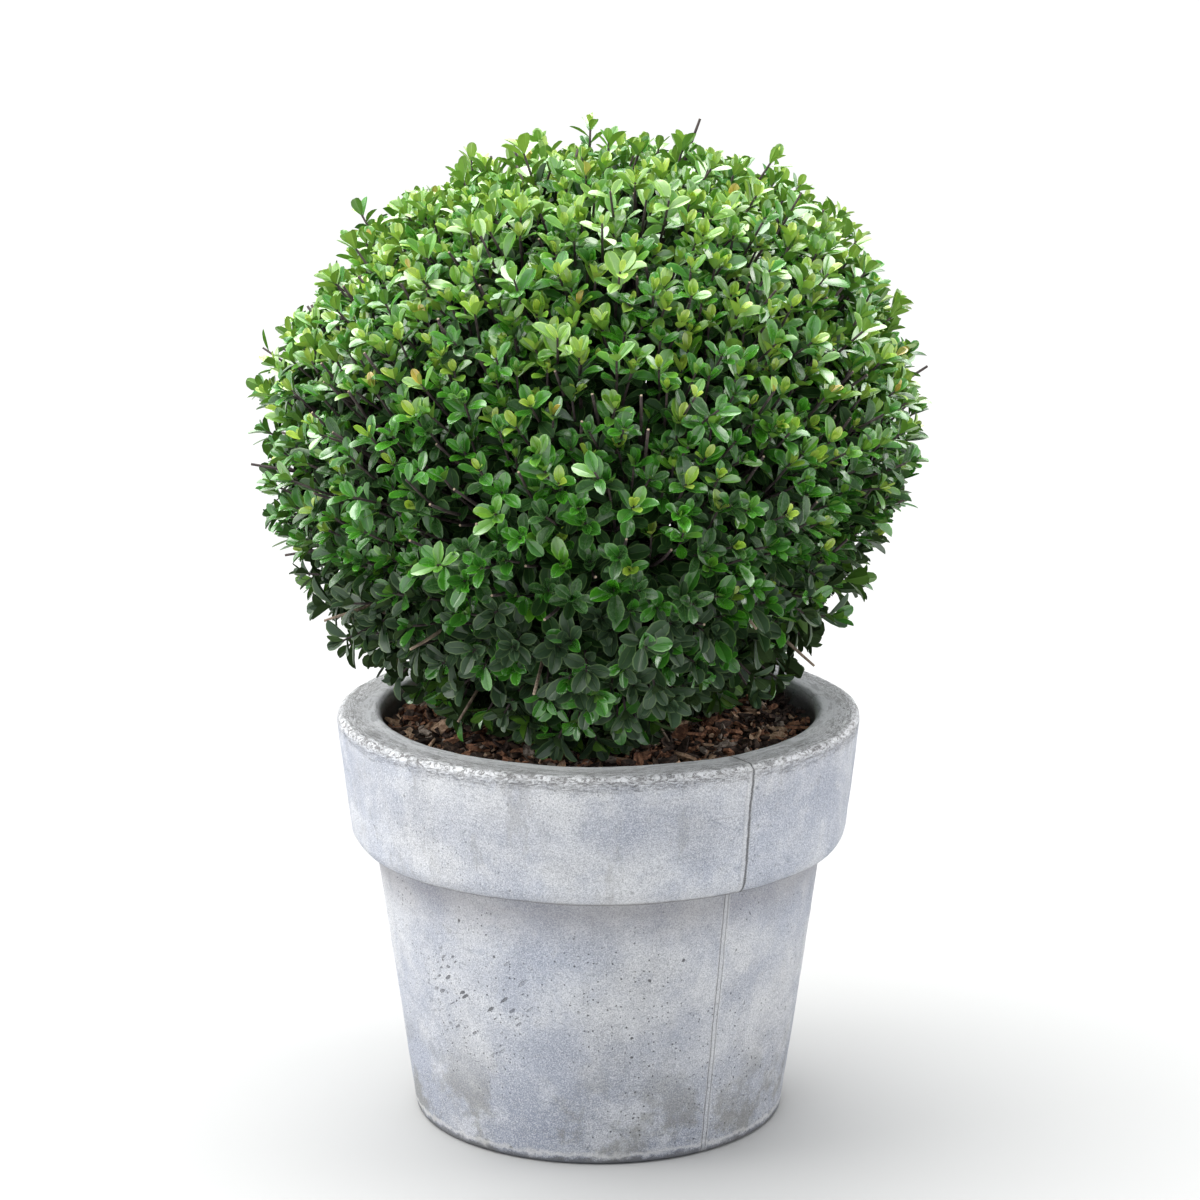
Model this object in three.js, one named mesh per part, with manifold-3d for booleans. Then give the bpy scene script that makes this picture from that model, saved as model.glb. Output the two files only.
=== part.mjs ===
// A Japanese holly clipped to a ball, in a round concrete pot with a deep collar.
// Millimetres, +Z up. The origin is the centre of the pot's flat underside, and the pot's axis is Z.
import * as THREE from "three";
import { mergeVertices } from "three/addons/utils/BufferGeometryUtils.js";
import Module from "manifold-3d";

const wasm = await Module();
wasm.setup();

// Driving dimensions of the pot
const POT_HEIGHT = 310;
const RIM_RADIUS = 195;
const RIM_BAND = 33;
const RIM_ROUND = 6;
const COLLAR_HEIGHT = 100;
const COLLAR_TAPER = 9;
const COLLAR_ROUND = 14;
const BODY_TOP_RADIUS = 168;
const FOOT_RADIUS = 140;
const FOOT_ROUND = 5;
const WALL = 19;
const FLOOR = 24;
const ROUND_SEGMENTS = 48;

// What fills the pot, measured down from the rim. The mulch leaves a ring clear round the trunk
const COMPOST_DROP = 20;
const MULCH_LAYER = 4;
const MULCH_LIP = 1;
const MULCH_BEVEL = 6;
const MULCH_OFF_TRUNK = 8;
const CHIP_COUNT = 30;
const CHIP_LENGTH = [16, 30];
const CHIP_WIDTH = [8, 14];
const CHIP_THICKNESS = [3, 5];
const CHIP_TOP_DROP = 9;
const CHIP_LIFT = 0.6;
const CHIP_TILT = 0.28;

// The crown is clipped to a ball, a little wider than tall and drawn down to the mulch.
// Its radii are measured upwards
const CROWN_ABOVE_RIM = 205;
const CROWN_WIDEN = 1.06;
const CROWN_DROP = 1.08;
const CROWN_RADIUS = 243;
const CORE_RADIUS = 207;
const CORE_BUMP = 4;
const CORE_DETAIL = 5;
const HOLLOW_RADIUS = 122;
const MASSES_PER_RING = 5;
const RING_LATITUDE = Math.atan(0.5);
const RING_TURN = THREE.MathUtils.degToRad(-54);
const CELL_MARGIN = 0.6;
const WELL_RADIUS = 74;

// How twigs fork: the hub of a group of shoots lies this deep, and deeper by its spread in radians
const HUB_DEPTH = 30;
const HUB_DEPTH_BY_SPREAD = 95;
const HUB_OFF_HOLLOW = 16;
const TWIG_POWER = 0.35;
const STEM_LEAD = 14;

// Shoots. Some have grown on past the clipped ball, and the lowest stand over the bare foot of the crown
const SHOOT_COUNT = 96;
const SHOOT_REACH = 216;
const SHOOT_LEAN = 0.06;
const SHOOT_RADIUS = 1.7;
const SHOOT_UNEVEN = 8;
const LONG_SHOOT_SHARE = 0.14;
const LONG_SHOOT_EXTRA = 16;
const LOWEST_SHOOT = -0.9;

// Leaves, larger than life and fewer. They open wider, in degrees, and grow larger down the shoot
const LEAF_LENGTH = 46;
const LEAF_WIDTH = 27;
const LEAF_THICKNESS = 1.3;
const LEAF_WIDEST = 0.58;
const LEAF_EDGE_LIFT = 1.8;
const LEAF_TIP_DROP = 1.2;
const LEAF_ROOT = 1.6;
const LEAF_SIMPLIFY = 0.3;
const LEAVES_PER_SHOOT = 5;
const LEAFY_LENGTH = 15;
const LEAF_OPENS = { first: 36, more: 46, uneven: 14 };
const LEAF_SIZES = { first: 0.72, more: 0.34, uneven: 0.12 };
const LEAF_TRIES = 7;
const TRY_TURN = 0.5;
const TRY_SHRINK = 0.05;
const SPIRAL_TURN = THREE.MathUtils.degToRad(137.5);

// How far leaves keep from the mulch, the rim and the trunk
const OFF_MULCH = 1.5;
const INSIDE_RIM = 8;
const ABOVE_RIM = 6;
const OFF_TRUNK = 14;

// The trunk and the boughs
const TRUNK_FOOT_RADIUS = 15;
const TRUNK_TIP_RADIUS = 5;
const TRUNK_TAPER_POWER = 0.8;
const TRUNK_FLARE = 9;
const FLARE_FALL = 22;
const FLARE_LOBES = 3;
const FLARE_LOBE_SHARE = 0.25;
const TRUNK_SWAY = [5, -4];
const TRUNK_TIP_ABOVE_CENTRE = 98;
const BOUGH_ROOT_RADIUS = 6.5;
const BOUGH_TIP_RADIUS = 4.2;
const BOUGH_END = 100;
const BOUGH_FIRST = 76;
const BOUGH_STEP = 15;
const BOUGH_RING_STEP = 83;
const BOUGH_BOW_OUT = 6;
const BOUGH_BOW_DOWN = 4;

// Solids that touch keep this gap, and corners closer than the rounding become one
const GAP = 0.3;
const ROUNDING = 1e-4;

const UP = new THREE.Vector3(0, 0, 1);
const RIM_INNER = RIM_RADIUS - RIM_BAND;
const INNER_FOOT = FOOT_RADIUS - WALL;
const COMPOST_TOP = POT_HEIGHT - COMPOST_DROP;
const MULCH_FOOT = COMPOST_TOP + GAP;
const CENTRE = new THREE.Vector3(0, 0, POT_HEIGHT + CROWN_ABOVE_RIM);
const CORE_FOOT = POT_HEIGHT - 3;
const LOWEST_TIP = POT_HEIGHT - 4;

// Seeded random numbers from 0 to 1, the same on every run
function seeded(seed) {
  let state = seed;
  return () => {
    state = (state + 0x6d2b79f5) | 0;
    let t = Math.imul(state ^ (state >>> 15), 1 | state);
    t = (t + Math.imul(t ^ (t >>> 7), 61 | t)) ^ t;
    return ((t ^ (t >>> 14)) >>> 0) / 4294967296;
  };
}

const between = (random, [low, high]) => low + (high - low) * random();

// A closed three.js geometry as a solid that can be cut and joined
function solidOf(geometry) {
  const bare = new THREE.BufferGeometry();
  const source = geometry.index ? geometry.toNonIndexed() : geometry;
  bare.setAttribute("position", source.getAttribute("position"));
  const merged = mergeVertices(bare, 1e-4);
  return new wasm.Manifold(
    new wasm.Mesh({
      numProp: 3,
      vertProperties: new Float32Array(merged.attributes.position.array),
      triVerts: new Uint32Array(merged.index.array),
    }),
  );
}

function geometryOf(solid) {
  const mesh = solid.getMesh();
  const geometry = new THREE.BufferGeometry();
  geometry.setAttribute("position", new THREE.BufferAttribute(mesh.vertProperties, 3));
  geometry.setIndex(new THREE.BufferAttribute(mesh.triVerts, 1));
  geometry.computeVertexNormals();
  return geometry;
}

// The largest body of a union, without loose scraps, and with fewer faces where none is missed by the tolerance
function wholeBody(solid, tolerance = 0.02) {
  const bodies = solid.asOriginal().simplify(tolerance).decompose();
  return bodies.reduce((best, body) => (body.volume() > best.volume() ? body : best));
}

// True where each edge still joins exactly two faces once the corners are rounded to a fine grid
function closesWhenRounded(solid) {
  const { vertProperties, triVerts } = solid.getMesh();
  const cornerOf = (v) =>
    [0, 1, 2].map((k) => Math.round(vertProperties[3 * v + k] / ROUNDING)).join(" ");
  const uses = new Map();
  for (let i = 0; i < triVerts.length; i += 3) {
    const corners = [0, 1, 2].map((k) => cornerOf(triVerts[i + k]));
    if (new Set(corners).size < 3) continue;
    for (let k = 0; k < 3; k++) {
      const edge = [corners[k], corners[(k + 1) % 3]].sort().join("|");
      uses.set(edge, (uses.get(edge) ?? 0) + 1);
    }
  }
  return [...uses.values()].every((count) => count === 2);
}

function arc(cx, cz, radius, from, to, steps) {
  return Array.from({ length: steps + 1 }, (_, i) => {
    const a = THREE.MathUtils.degToRad(from + ((to - from) * i) / steps);
    return new THREE.Vector2(cx + radius * Math.cos(a), cz + radius * Math.sin(a));
  });
}

function turned(profile, segments = ROUND_SEGMENTS) {
  return new THREE.LatheGeometry(profile, segments).rotateX(Math.PI / 2);
}

function innerRadiusAt(z) {
  return INNER_FOOT + ((RIM_INNER - INNER_FOOT) * (z - FLOOR)) / (POT_HEIGHT - FLOOR);
}

// The pot: tapered body, a deep collar with a rounded lower edge, and a flat rim
function pot() {
  const collarFoot = POT_HEIGHT - COLLAR_HEIGHT;
  const collarFootRadius = RIM_RADIUS - COLLAR_TAPER;
  const profile = [
    new THREE.Vector2(0, 0),
    ...arc(FOOT_RADIUS - FOOT_ROUND, FOOT_ROUND, FOOT_ROUND, -90, -5, 2),
    new THREE.Vector2(BODY_TOP_RADIUS, collarFoot),
    ...arc(collarFootRadius - COLLAR_ROUND, collarFoot + COLLAR_ROUND, COLLAR_ROUND, -90, 0, 4),
    ...arc(RIM_RADIUS - RIM_ROUND, POT_HEIGHT - RIM_ROUND, RIM_ROUND, 0, 90, 3),
    ...arc(RIM_INNER + RIM_ROUND, POT_HEIGHT - RIM_ROUND, RIM_ROUND, 90, 175, 2),
    new THREE.Vector2(INNER_FOOT, FLOOR),
    new THREE.Vector2(0, FLOOR),
  ];
  return turned(profile);
}

// The compost fills the pot up to a flat top
function compost() {
  const foot = FLOOR + GAP;
  return turned([
    new THREE.Vector2(0, foot),
    new THREE.Vector2(innerRadiusAt(foot) - GAP, foot),
    new THREE.Vector2(innerRadiusAt(COMPOST_TOP) - GAP, COMPOST_TOP),
    new THREE.Vector2(0, COMPOST_TOP),
  ]);
}

// A ring of bark mulch on the compost, with the larger chips standing out of it
function barkMulch() {
  const random = seeded(11);
  const outer = innerRadiusAt(MULCH_FOOT) - 2 * GAP;
  const inner = TRUNK_FOOT_RADIUS + TRUNK_FLARE + MULCH_OFF_TRUNK;
  const top = MULCH_FOOT + MULCH_LAYER;
  const ring = solidOf(
    turned([
      new THREE.Vector2(inner, MULCH_FOOT),
      new THREE.Vector2(outer, MULCH_FOOT),
      new THREE.Vector2(outer, top - MULCH_LIP),
      new THREE.Vector2(outer - MULCH_BEVEL, top),
      new THREE.Vector2(inner + MULCH_BEVEL, top),
      new THREE.Vector2(inner, MULCH_FOOT),
    ]),
  );
  const chips = [];
  for (let i = 0; i < CHIP_COUNT; i++) {
    const length = between(random, CHIP_LENGTH);
    const chip = new THREE.BoxGeometry(
      length,
      between(random, CHIP_WIDTH),
      between(random, CHIP_THICKNESS),
    );
    const spread = Math.sqrt((i + 0.5) / CHIP_COUNT);
    const nearest = inner + length / 2 + MULCH_BEVEL;
    const reach = nearest + (outer - inner - length - 10) * spread;
    chip.rotateX((random() - 0.5) * 2 * CHIP_TILT).rotateY((random() - 0.5) * 2 * CHIP_TILT);
    chip.rotateZ(random() * Math.PI);
    const around = i * SPIRAL_TURN;
    chip.translate(reach * Math.cos(around), reach * Math.sin(around), top + CHIP_LIFT);
    chips.push(solidOf(chip));
  }
  const space = solidOf(
    turned([
      new THREE.Vector2(0, MULCH_FOOT),
      new THREE.Vector2(outer, MULCH_FOOT),
      new THREE.Vector2(outer, POT_HEIGHT - CHIP_TOP_DROP),
      new THREE.Vector2(0, POT_HEIGHT - CHIP_TOP_DROP),
    ]),
  );
  return geometryOf(wholeBody(wasm.Manifold.union([ring, ...chips]).intersect(space)));
}

// A closed tapering limb about a smooth curve. radiusAt takes the share of the length and the angle
function limb(points, radiusAt, sides, steps) {
  const curve = new THREE.CatmullRomCurve3(points);
  const frames = curve.computeFrenetFrames(steps, false);
  const positions = [];
  for (let i = 0; i <= steps; i++) {
    const t = i / steps;
    const middle = curve.getPointAt(t);
    for (let k = 0; k < sides; k++) {
      const a = (k / sides) * 2 * Math.PI;
      const radius = radiusAt(t, a);
      const p = middle
        .clone()
        .addScaledVector(frames.normals[i], radius * Math.cos(a))
        .addScaledVector(frames.binormals[i], radius * Math.sin(a));
      positions.push(p.x, p.y, p.z);
    }
  }
  const index = [];
  for (let i = 0; i < steps; i++) {
    for (let k = 0; k < sides; k++) {
      const a = i * sides + k;
      const b = i * sides + ((k + 1) % sides);
      index.push(a, b, b + sides, a, b + sides, a + sides);
    }
  }
  const last = steps * sides;
  for (let k = 1; k < sides - 1; k++) {
    index.push(0, k + 1, k, last, last + k, last + k + 1);
  }
  const geometry = new THREE.BufferGeometry();
  geometry.setAttribute("position", new THREE.Float32BufferAttribute(positions, 3));
  geometry.setIndex(index);
  return geometry;
}

// The trunk rises from a flat cut on the compost, flares in three lobes at its foot, and tapers to its tip
const TRUNK_FOOT = new THREE.Vector3(5, -4, COMPOST_TOP + GAP);
const TRUNK_TIP = new THREE.Vector3(0, 0, CENTRE.z + TRUNK_TIP_ABOVE_CENTRE);

function trunkPoint(z) {
  const t = (z - TRUNK_FOOT.z) / (TRUNK_TIP.z - TRUNK_FOOT.z);
  const p = TRUNK_FOOT.clone().lerp(TRUNK_TIP, t);
  const sway = Math.sin(t * Math.PI * 2) * Math.sin(t * Math.PI);
  p.x += TRUNK_SWAY[0] * sway;
  p.y += TRUNK_SWAY[1] * sway;
  return p;
}

function trunk(extra = 0) {
  const heights = [0, 0.04, 0.12, 0.3, 0.5, 0.7, 0.85, 1].map(
    (t) => TRUNK_FOOT.z + t * (TRUNK_TIP.z - TRUNK_FOOT.z),
  );
  const radiusAt = (t, a) => {
    const lobes = 1 - FLARE_LOBE_SHARE + FLARE_LOBE_SHARE * Math.cos(FLARE_LOBES * a + 0.6);
    const flare = TRUNK_FLARE * Math.exp(-t * FLARE_FALL) * lobes;
    const taper = (TRUNK_TIP_RADIUS - TRUNK_FOOT_RADIUS) * t ** TRUNK_TAPER_POWER;
    return TRUNK_FOOT_RADIUS + taper + flare + extra;
  };
  const raised = solidOf(limb(heights.map(trunkPoint), radiusAt, 10, 14));
  // Square the foot to the level cut
  return raised.trimByPlane([0, 0, 1], TRUNK_FOOT.z);
}

// The crown's masses: one on top, and two rings of five, as on a soccer ball
function massDirections() {
  const masses = [{ name: "top", direction: UP.clone() }];
  for (const [ring, latitude, turn] of [
    ["upper", RING_LATITUDE, 0],
    ["lower", -RING_LATITUDE, Math.PI / MASSES_PER_RING],
  ]) {
    for (let k = 0; k < MASSES_PER_RING; k++) {
      const around = RING_TURN + turn + (k * 2 * Math.PI) / MASSES_PER_RING;
      masses.push({
        name: `${ring}_${k + 1}`,
        ring,
        order: k,
        direction: new THREE.Vector3(
          Math.cos(latitude) * Math.cos(around),
          Math.cos(latitude) * Math.sin(around),
          Math.sin(latitude),
        ),
      });
    }
  }
  return masses;
}

const MASSES = massDirections();

function atCrown(direction, radius) {
  const stretch = new THREE.Vector3(CROWN_WIDEN, CROWN_WIDEN, direction.z < 0 ? CROWN_DROP : 1);
  return stretch.multiply(direction).multiplyScalar(radius).add(CENTRE);
}

// How far out of the crown's middle a point lies, as a radius measured upwards
function crownRadiusOf(point) {
  const fromAxis = Math.hypot(point.x, point.y) / CROWN_WIDEN;
  const rise = point.z - CENTRE.z;
  return Math.hypot(fromAxis, rise < 0 ? rise / CROWN_DROP : rise);
}

// The planes that part one mass from the others, all through the crown's middle
function cellPlanes(mass) {
  return MASSES.filter((other) => other !== mass).map((other) => {
    const normal = mass.direction.clone().sub(other.direction).normalize();
    return { normal, offset: normal.dot(CENTRE) + CELL_MARGIN };
  });
}

// A bough leaves the trunk low down and bends out and up to its mass. Neighbours leave at well apart heights
function boughRoute(mass) {
  const rise = mass.ring === "upper" ? BOUGH_RING_STEP : 0;
  const order = (2 * mass.order) % MASSES_PER_RING;
  const root = trunkPoint(COMPOST_TOP + BOUGH_FIRST + rise + order * BOUGH_STEP);
  const tip = atCrown(mass.direction, BOUGH_END);
  const out = new THREE.Vector3(mass.direction.x, mass.direction.y, 0).normalize();
  const bend = root.clone().lerp(tip, 0.5);
  bend.addScaledVector(out, BOUGH_BOW_OUT).addScaledVector(UP, -BOUGH_BOW_DOWN);
  return [root, bend, tip];
}

function bough(mass, clearTrunk) {
  const route = boughRoute(mass);
  const radiusAt = (t) => BOUGH_ROOT_RADIUS + (BOUGH_TIP_RADIUS - BOUGH_ROOT_RADIUS) * t;
  return wholeBody(solidOf(limb(route, radiusAt, 7, 5)).subtract(clearTrunk));
}

// Where a mass's stem starts, and the way it points: on from the bough's tip, or from the trunk's
function stemStart(mass) {
  if (mass.name === "top") {
    return { start: TRUNK_TIP.clone().addScaledVector(UP, GAP), way: UP.clone() };
  }
  const curve = new THREE.CatmullRomCurve3(boughRoute(mass));
  const way = curve.getTangentAt(1);
  return { start: curve.getPointAt(1).addScaledVector(way, GAP), way };
}

// Even points on a sphere, one for each shoot, from the top down to the bare foot of the crown
function shootDirections(count) {
  const directions = [];
  for (let i = 0; i < count; i++) {
    const z = 1 - ((i + 0.5) / count) * (1 - LOWEST_SHOOT);
    const r = Math.sqrt(1 - z * z);
    directions.push(
      new THREE.Vector3(r * Math.cos(i * SPIRAL_TURN), r * Math.sin(i * SPIRAL_TURN), z),
    );
  }
  return directions;
}

function nearestMass(direction) {
  return MASSES.reduce((best, m) =>
    m.direction.dot(direction) > best.direction.dot(direction) ? m : best,
  );
}

// Splits a group of directions in two across its widest way
function halves(group) {
  const mean = group.reduce((sum, d) => sum.add(d), new THREE.Vector3()).normalize();
  const side = new THREE.Vector3().crossVectors(mean, UP).normalize();
  const other = new THREE.Vector3().crossVectors(mean, side);
  const spread = (axis) => {
    const shares = group.map((d) => d.dot(axis));
    return Math.max(...shares) - Math.min(...shares);
  };
  const axis = spread(side) > spread(other) ? side : other;
  const sorted = [...group].sort((a, b) => a.dot(axis) - b.dot(axis));
  const half = Math.ceil(group.length / 2);
  return [sorted.slice(0, half), sorted.slice(half)];
}

// The branching rule: a group of shoots springs from one hub, which lies deeper the wider the group is
function hubOf(group) {
  const mean = group.reduce((sum, d) => sum.add(d), new THREE.Vector3()).normalize();
  const widest = Math.max(...group.map((d) => d.angleTo(mean)));
  const depth = HUB_DEPTH + widest * HUB_DEPTH_BY_SPREAD;
  return atCrown(mean, Math.max(HOLLOW_RADIUS + HUB_OFF_HOLLOW, SHOOT_REACH - depth));
}

function twigRadius(count) {
  return SHOOT_RADIUS * count ** TWIG_POWER;
}

function straightTwig(from, to, radius, tipRadius) {
  const radiusAt = (t) => radius + (tipRadius - radius) * t;
  return solidOf(limb([from, to], radiusAt, 3, 1));
}

// A leaf of eight faces: root, tip, two sides, and a ridge above and below
function leaf(root, way, face, size) {
  const length = LEAF_LENGTH * size;
  const side = new THREE.Vector3().crossVectors(face, way).normalize();
  const place = (along, across, lift) =>
    root
      .clone()
      .addScaledVector(way, along * length)
      .addScaledVector(side, across * LEAF_WIDTH * size)
      .addScaledVector(face, lift);
  const corners = [
    place(-LEAF_ROOT / length, 0, 0),
    place(LEAF_WIDEST, 0.5, LEAF_EDGE_LIFT * size),
    place(1, 0, -LEAF_TIP_DROP * size),
    place(LEAF_WIDEST, -0.5, LEAF_EDGE_LIFT * size),
    place(0.5, 0, LEAF_THICKNESS / 2),
    place(0.5, 0, -LEAF_THICKNESS / 2),
  ];
  const geometry = new THREE.BufferGeometry();
  geometry.setAttribute(
    "position",
    new THREE.Float32BufferAttribute(
      corners.flatMap((p) => [p.x, p.y, p.z]),
      3,
    ),
  );
  const ring = [0, 1, 2, 3];
  geometry.setIndex(
    ring.flatMap((k) => [ring[(k + 1) % 4], k, 4, k, ring[(k + 1) % 4], 5]),
  );
  return { geometry, corners };
}

// True where a point lies in the mass's own space, over the mulch and off the rim
function insideSpace(point, planes, reach) {
  const apart = planes.every(({ normal, offset }) => normal.dot(point) >= offset);
  const away = crownRadiusOf(point) <= reach;
  const fromAxis = Math.hypot(point.x, point.y);
  const overMulch = point.z > POT_HEIGHT - CHIP_TOP_DROP + OFF_MULCH;
  const offRim = fromAxis < RIM_INNER - INSIDE_RIM || point.z > POT_HEIGHT + ABOVE_RIM;
  return apart && away && overMulch && offRim && fromAxis > TRUNK_FOOT_RADIUS + OFF_TRUNK;
}

// Where a shoot ends: it leans up from the way out of the crown, unless that leaves the mass's own space
function shootTip(direction, extra, planes) {
  const raised = direction.clone().addScaledVector(UP, SHOOT_LEAN * (1 - Math.abs(direction.z)));
  const tip = atCrown(raised.normalize(), SHOOT_REACH + extra);
  if (!planes.every(({ normal, offset }) => normal.dot(tip) >= offset + SHOOT_RADIUS + 1)) {
    tip.copy(atCrown(direction, SHOOT_REACH + extra));
  }
  tip.z = Math.max(tip.z, LOWEST_TIP);
  return tip;
}

// A leaf opens away from its shoot, and is turned on and made smaller until it keeps to the mass's space
function leafThatFits(root, axis, turn, open, size, planes) {
  const side = new THREE.Vector3().crossVectors(axis, UP).normalize();
  const across = new THREE.Vector3().crossVectors(axis, side);
  for (let attempt = 0; attempt < LEAF_TRIES; attempt++) {
    const around = turn + attempt * TRY_TURN * (attempt % 2 ? 1 : -1);
    const radial = side
      .clone()
      .multiplyScalar(Math.cos(around))
      .addScaledVector(across, Math.sin(around));
    const way = axis
      .clone()
      .multiplyScalar(Math.cos(open))
      .addScaledVector(radial, Math.sin(open));
    const face = axis
      .clone()
      .multiplyScalar(Math.sin(open))
      .addScaledVector(radial, -Math.cos(open));
    const made = leaf(root, way, face, size * (1 - TRY_SHRINK * attempt));
    if (made.corners.slice(1).every((p) => insideSpace(p, planes, CROWN_RADIUS))) {
      return [solidOf(made.geometry)];
    }
  }
  return [];
}

// A shoot bears its leaves in a spiral round its end
function growShoot(direction, hub, random, planes) {
  const long = random() < LONG_SHOOT_SHARE;
  const extra = long ? LONG_SHOOT_EXTRA : (random() - 0.5) * SHOOT_UNEVEN;
  const tip = shootTip(direction, extra, planes);
  if (!insideSpace(tip, planes, CROWN_RADIUS)) return [];
  const pieces = [straightTwig(hub, tip, SHOOT_RADIUS * 1.15, SHOOT_RADIUS * 0.8)];
  const axis = tip.clone().sub(hub).normalize();
  const start = random() * Math.PI * 2;
  for (let i = 0; i < LEAVES_PER_SHOOT; i++) {
    const down = i / LEAVES_PER_SHOOT;
    const root = tip.clone().addScaledVector(axis, -1 - LEAFY_LENGTH * down);
    const opening = LEAF_OPENS.first + LEAF_OPENS.more * down + (random() - 0.5) * LEAF_OPENS.uneven;
    const open = THREE.MathUtils.degToRad(opening);
    const grown = LEAF_SIZES.first + LEAF_SIZES.more * Math.sqrt(down);
    const size = grown + (random() - 0.5) * LEAF_SIZES.uneven;
    pieces.push(...leafThatFits(root, axis, start + i * SPIRAL_TURN, open, size, planes));
  }
  return pieces;
}

// Grows one group of shoots from where its limb starts, forking in two until each shoot stands alone
function grow(group, from, random, planes) {
  if (group.length === 1) return growShoot(group[0], from, random, planes);
  return halves(group).flatMap((half) => {
    if (half.length === 1) return grow(half, from, random, planes);
    const hub = hubOf(half);
    const radius = twigRadius(half.length);
    return [straightTwig(from, hub, radius * 1.2, radius), ...grow(half, hub, random, planes)];
  });
}

// The dense inner leafage of the whole ball as one lumpy shell, open inside and round the trunk
function leafageShell() {
  const outer = new THREE.IcosahedronGeometry(CORE_RADIUS, CORE_DETAIL);
  const place = outer.getAttribute("position");
  const p = new THREE.Vector3();
  for (let i = 0; i < place.count; i++) {
    p.fromBufferAttribute(place, i).normalize();
    const bump =
      Math.sin(23 * p.x + 2) * Math.sin(19 * p.y + 1) + Math.sin(21 * p.z - 17 * p.x) * Math.cos(25 * p.y);
    p.copy(atCrown(p, CORE_RADIUS + CORE_BUMP * bump));
    place.setXYZ(i, p.x, p.y, p.z);
  }
  const inner = new THREE.IcosahedronGeometry(HOLLOW_RADIUS, 2);
  inner.translate(CENTRE.x, CENTRE.y, CENTRE.z);
  const well = new THREE.CylinderGeometry(WELL_RADIUS, WELL_RADIUS, CROWN_RADIUS, 12);
  well.rotateX(Math.PI / 2).translate(0, 0, CENTRE.z - CROWN_RADIUS / 2);
  const shell = solidOf(outer).subtract(solidOf(inner)).subtract(solidOf(well));
  return shell.trimByPlane([0, 0, 1], CORE_FOOT);
}

// One mass: its share of the inner leafage, the stem, the twigs and the leaves, fused
function foliage(mass, shell, seed = 100 + MASSES.indexOf(mass)) {
  const random = seeded(seed);
  const planes = cellPlanes(mass);
  const core = planes.reduce(
    (kept, { normal, offset }) => kept.trimByPlane([normal.x, normal.y, normal.z], offset),
    shell,
  );
  const group = shootDirections(SHOOT_COUNT).filter((d) => nearestMass(d) === mass);
  const { start, way } = stemStart(mass);
  const hub = hubOf(group);
  const bend = start.clone().addScaledVector(way, STEM_LEAD);
  const stemRadius = (t) => BOUGH_TIP_RADIUS - t;
  const stem = solidOf(limb([start, bend, hub], stemRadius, 6, 5));
  const level = stem.trimByPlane([way.x, way.y, way.z], way.dot(start));
  const grown = grow(group, hub, random, planes);
  const fused = wholeBody(wasm.Manifold.union([core, level, ...grown]), LEAF_SIMPLIFY);
  return closesWhenRounded(fused) ? fused : foliage(mass, shell, seed + MASSES.length);
}

const CONCRETE = new THREE.MeshStandardMaterial({ color: 0xb3b6ba, roughness: 0.88, metalness: 0 });
const COMPOST = new THREE.MeshStandardMaterial({ color: 0x2c2019, roughness: 1, metalness: 0 });
const BARK_CHIPS = new THREE.MeshStandardMaterial({ color: 0x6d4430, roughness: 0.95, metalness: 0 });
const WOOD = new THREE.MeshStandardMaterial({ color: 0x4b3a36, roughness: 0.85, metalness: 0 });
const LEAVES = new THREE.MeshStandardMaterial({ color: 0x3f7a2a, roughness: 0.4, metalness: 0 });

const plant = new THREE.Group();

function add(name, geometry, material) {
  const mesh = new THREE.Mesh(geometry, material);
  mesh.name = name;
  plant.add(mesh);
}

add("pot", pot(), CONCRETE);
add("compost", compost(), COMPOST);
add("bark_mulch", barkMulch(), BARK_CHIPS);
add("trunk", geometryOf(trunk()), WOOD);

const clearTrunk = trunk(GAP);
const shell = leafageShell();
for (const mass of MASSES) {
  if (mass.ring) add(`bough_${mass.name}`, geometryOf(bough(mass, clearTrunk)), WOOD);
  add(`foliage_${mass.name}`, geometryOf(foliage(mass, shell)), LEAVES);
}

export default plant;
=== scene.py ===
"""A small-leaved holly clipped to a ball, growing in an aged concrete pot that is topped with bark mulch.

Metres, +Z up. The origin is the centre of the pot's flat underside, and -Y is the side towards the camera.
"""
import math

import bpy
import numpy as np
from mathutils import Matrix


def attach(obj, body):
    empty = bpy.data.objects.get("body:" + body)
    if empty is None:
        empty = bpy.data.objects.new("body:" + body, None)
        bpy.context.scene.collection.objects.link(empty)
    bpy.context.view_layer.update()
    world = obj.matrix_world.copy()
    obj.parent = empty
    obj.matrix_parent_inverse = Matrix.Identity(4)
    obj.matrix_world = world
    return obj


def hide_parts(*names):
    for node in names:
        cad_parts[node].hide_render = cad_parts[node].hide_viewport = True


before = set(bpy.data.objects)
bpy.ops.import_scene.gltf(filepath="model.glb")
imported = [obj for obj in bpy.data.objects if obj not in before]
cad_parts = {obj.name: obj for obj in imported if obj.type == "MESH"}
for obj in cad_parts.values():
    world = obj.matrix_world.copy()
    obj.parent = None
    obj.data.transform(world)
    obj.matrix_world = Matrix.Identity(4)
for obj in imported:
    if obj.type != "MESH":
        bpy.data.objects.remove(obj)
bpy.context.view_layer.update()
MM = 0.001

# The pot
POT_HEIGHT = 310 * MM
RIM_RADIUS = 195 * MM
RIM_BAND = 33 * MM
RIM_ROUND = 6 * MM
COLLAR_HEIGHT = 100 * MM
COLLAR_TAPER = 9 * MM
COLLAR_ROUND = 14 * MM
BODY_TOP_RADIUS = 168 * MM
FOOT_RADIUS = 140 * MM
FOOT_ROUND = 5 * MM
INNER_TAPER = 3 * MM
WALL_BELOW_COMPOST = 10 * MM
POT_SEGMENTS = 288
PROFILE_STEP = 4.5 * MM
RIM_INNER = RIM_RADIUS - RIM_BAND
COLLAR_FOOT = POT_HEIGHT - COLLAR_HEIGHT
SEAM_ANGLE = math.radians(-90 + 34)
GOUGES = (-86 * MM, -123 * MM, 128 * MM)

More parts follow.
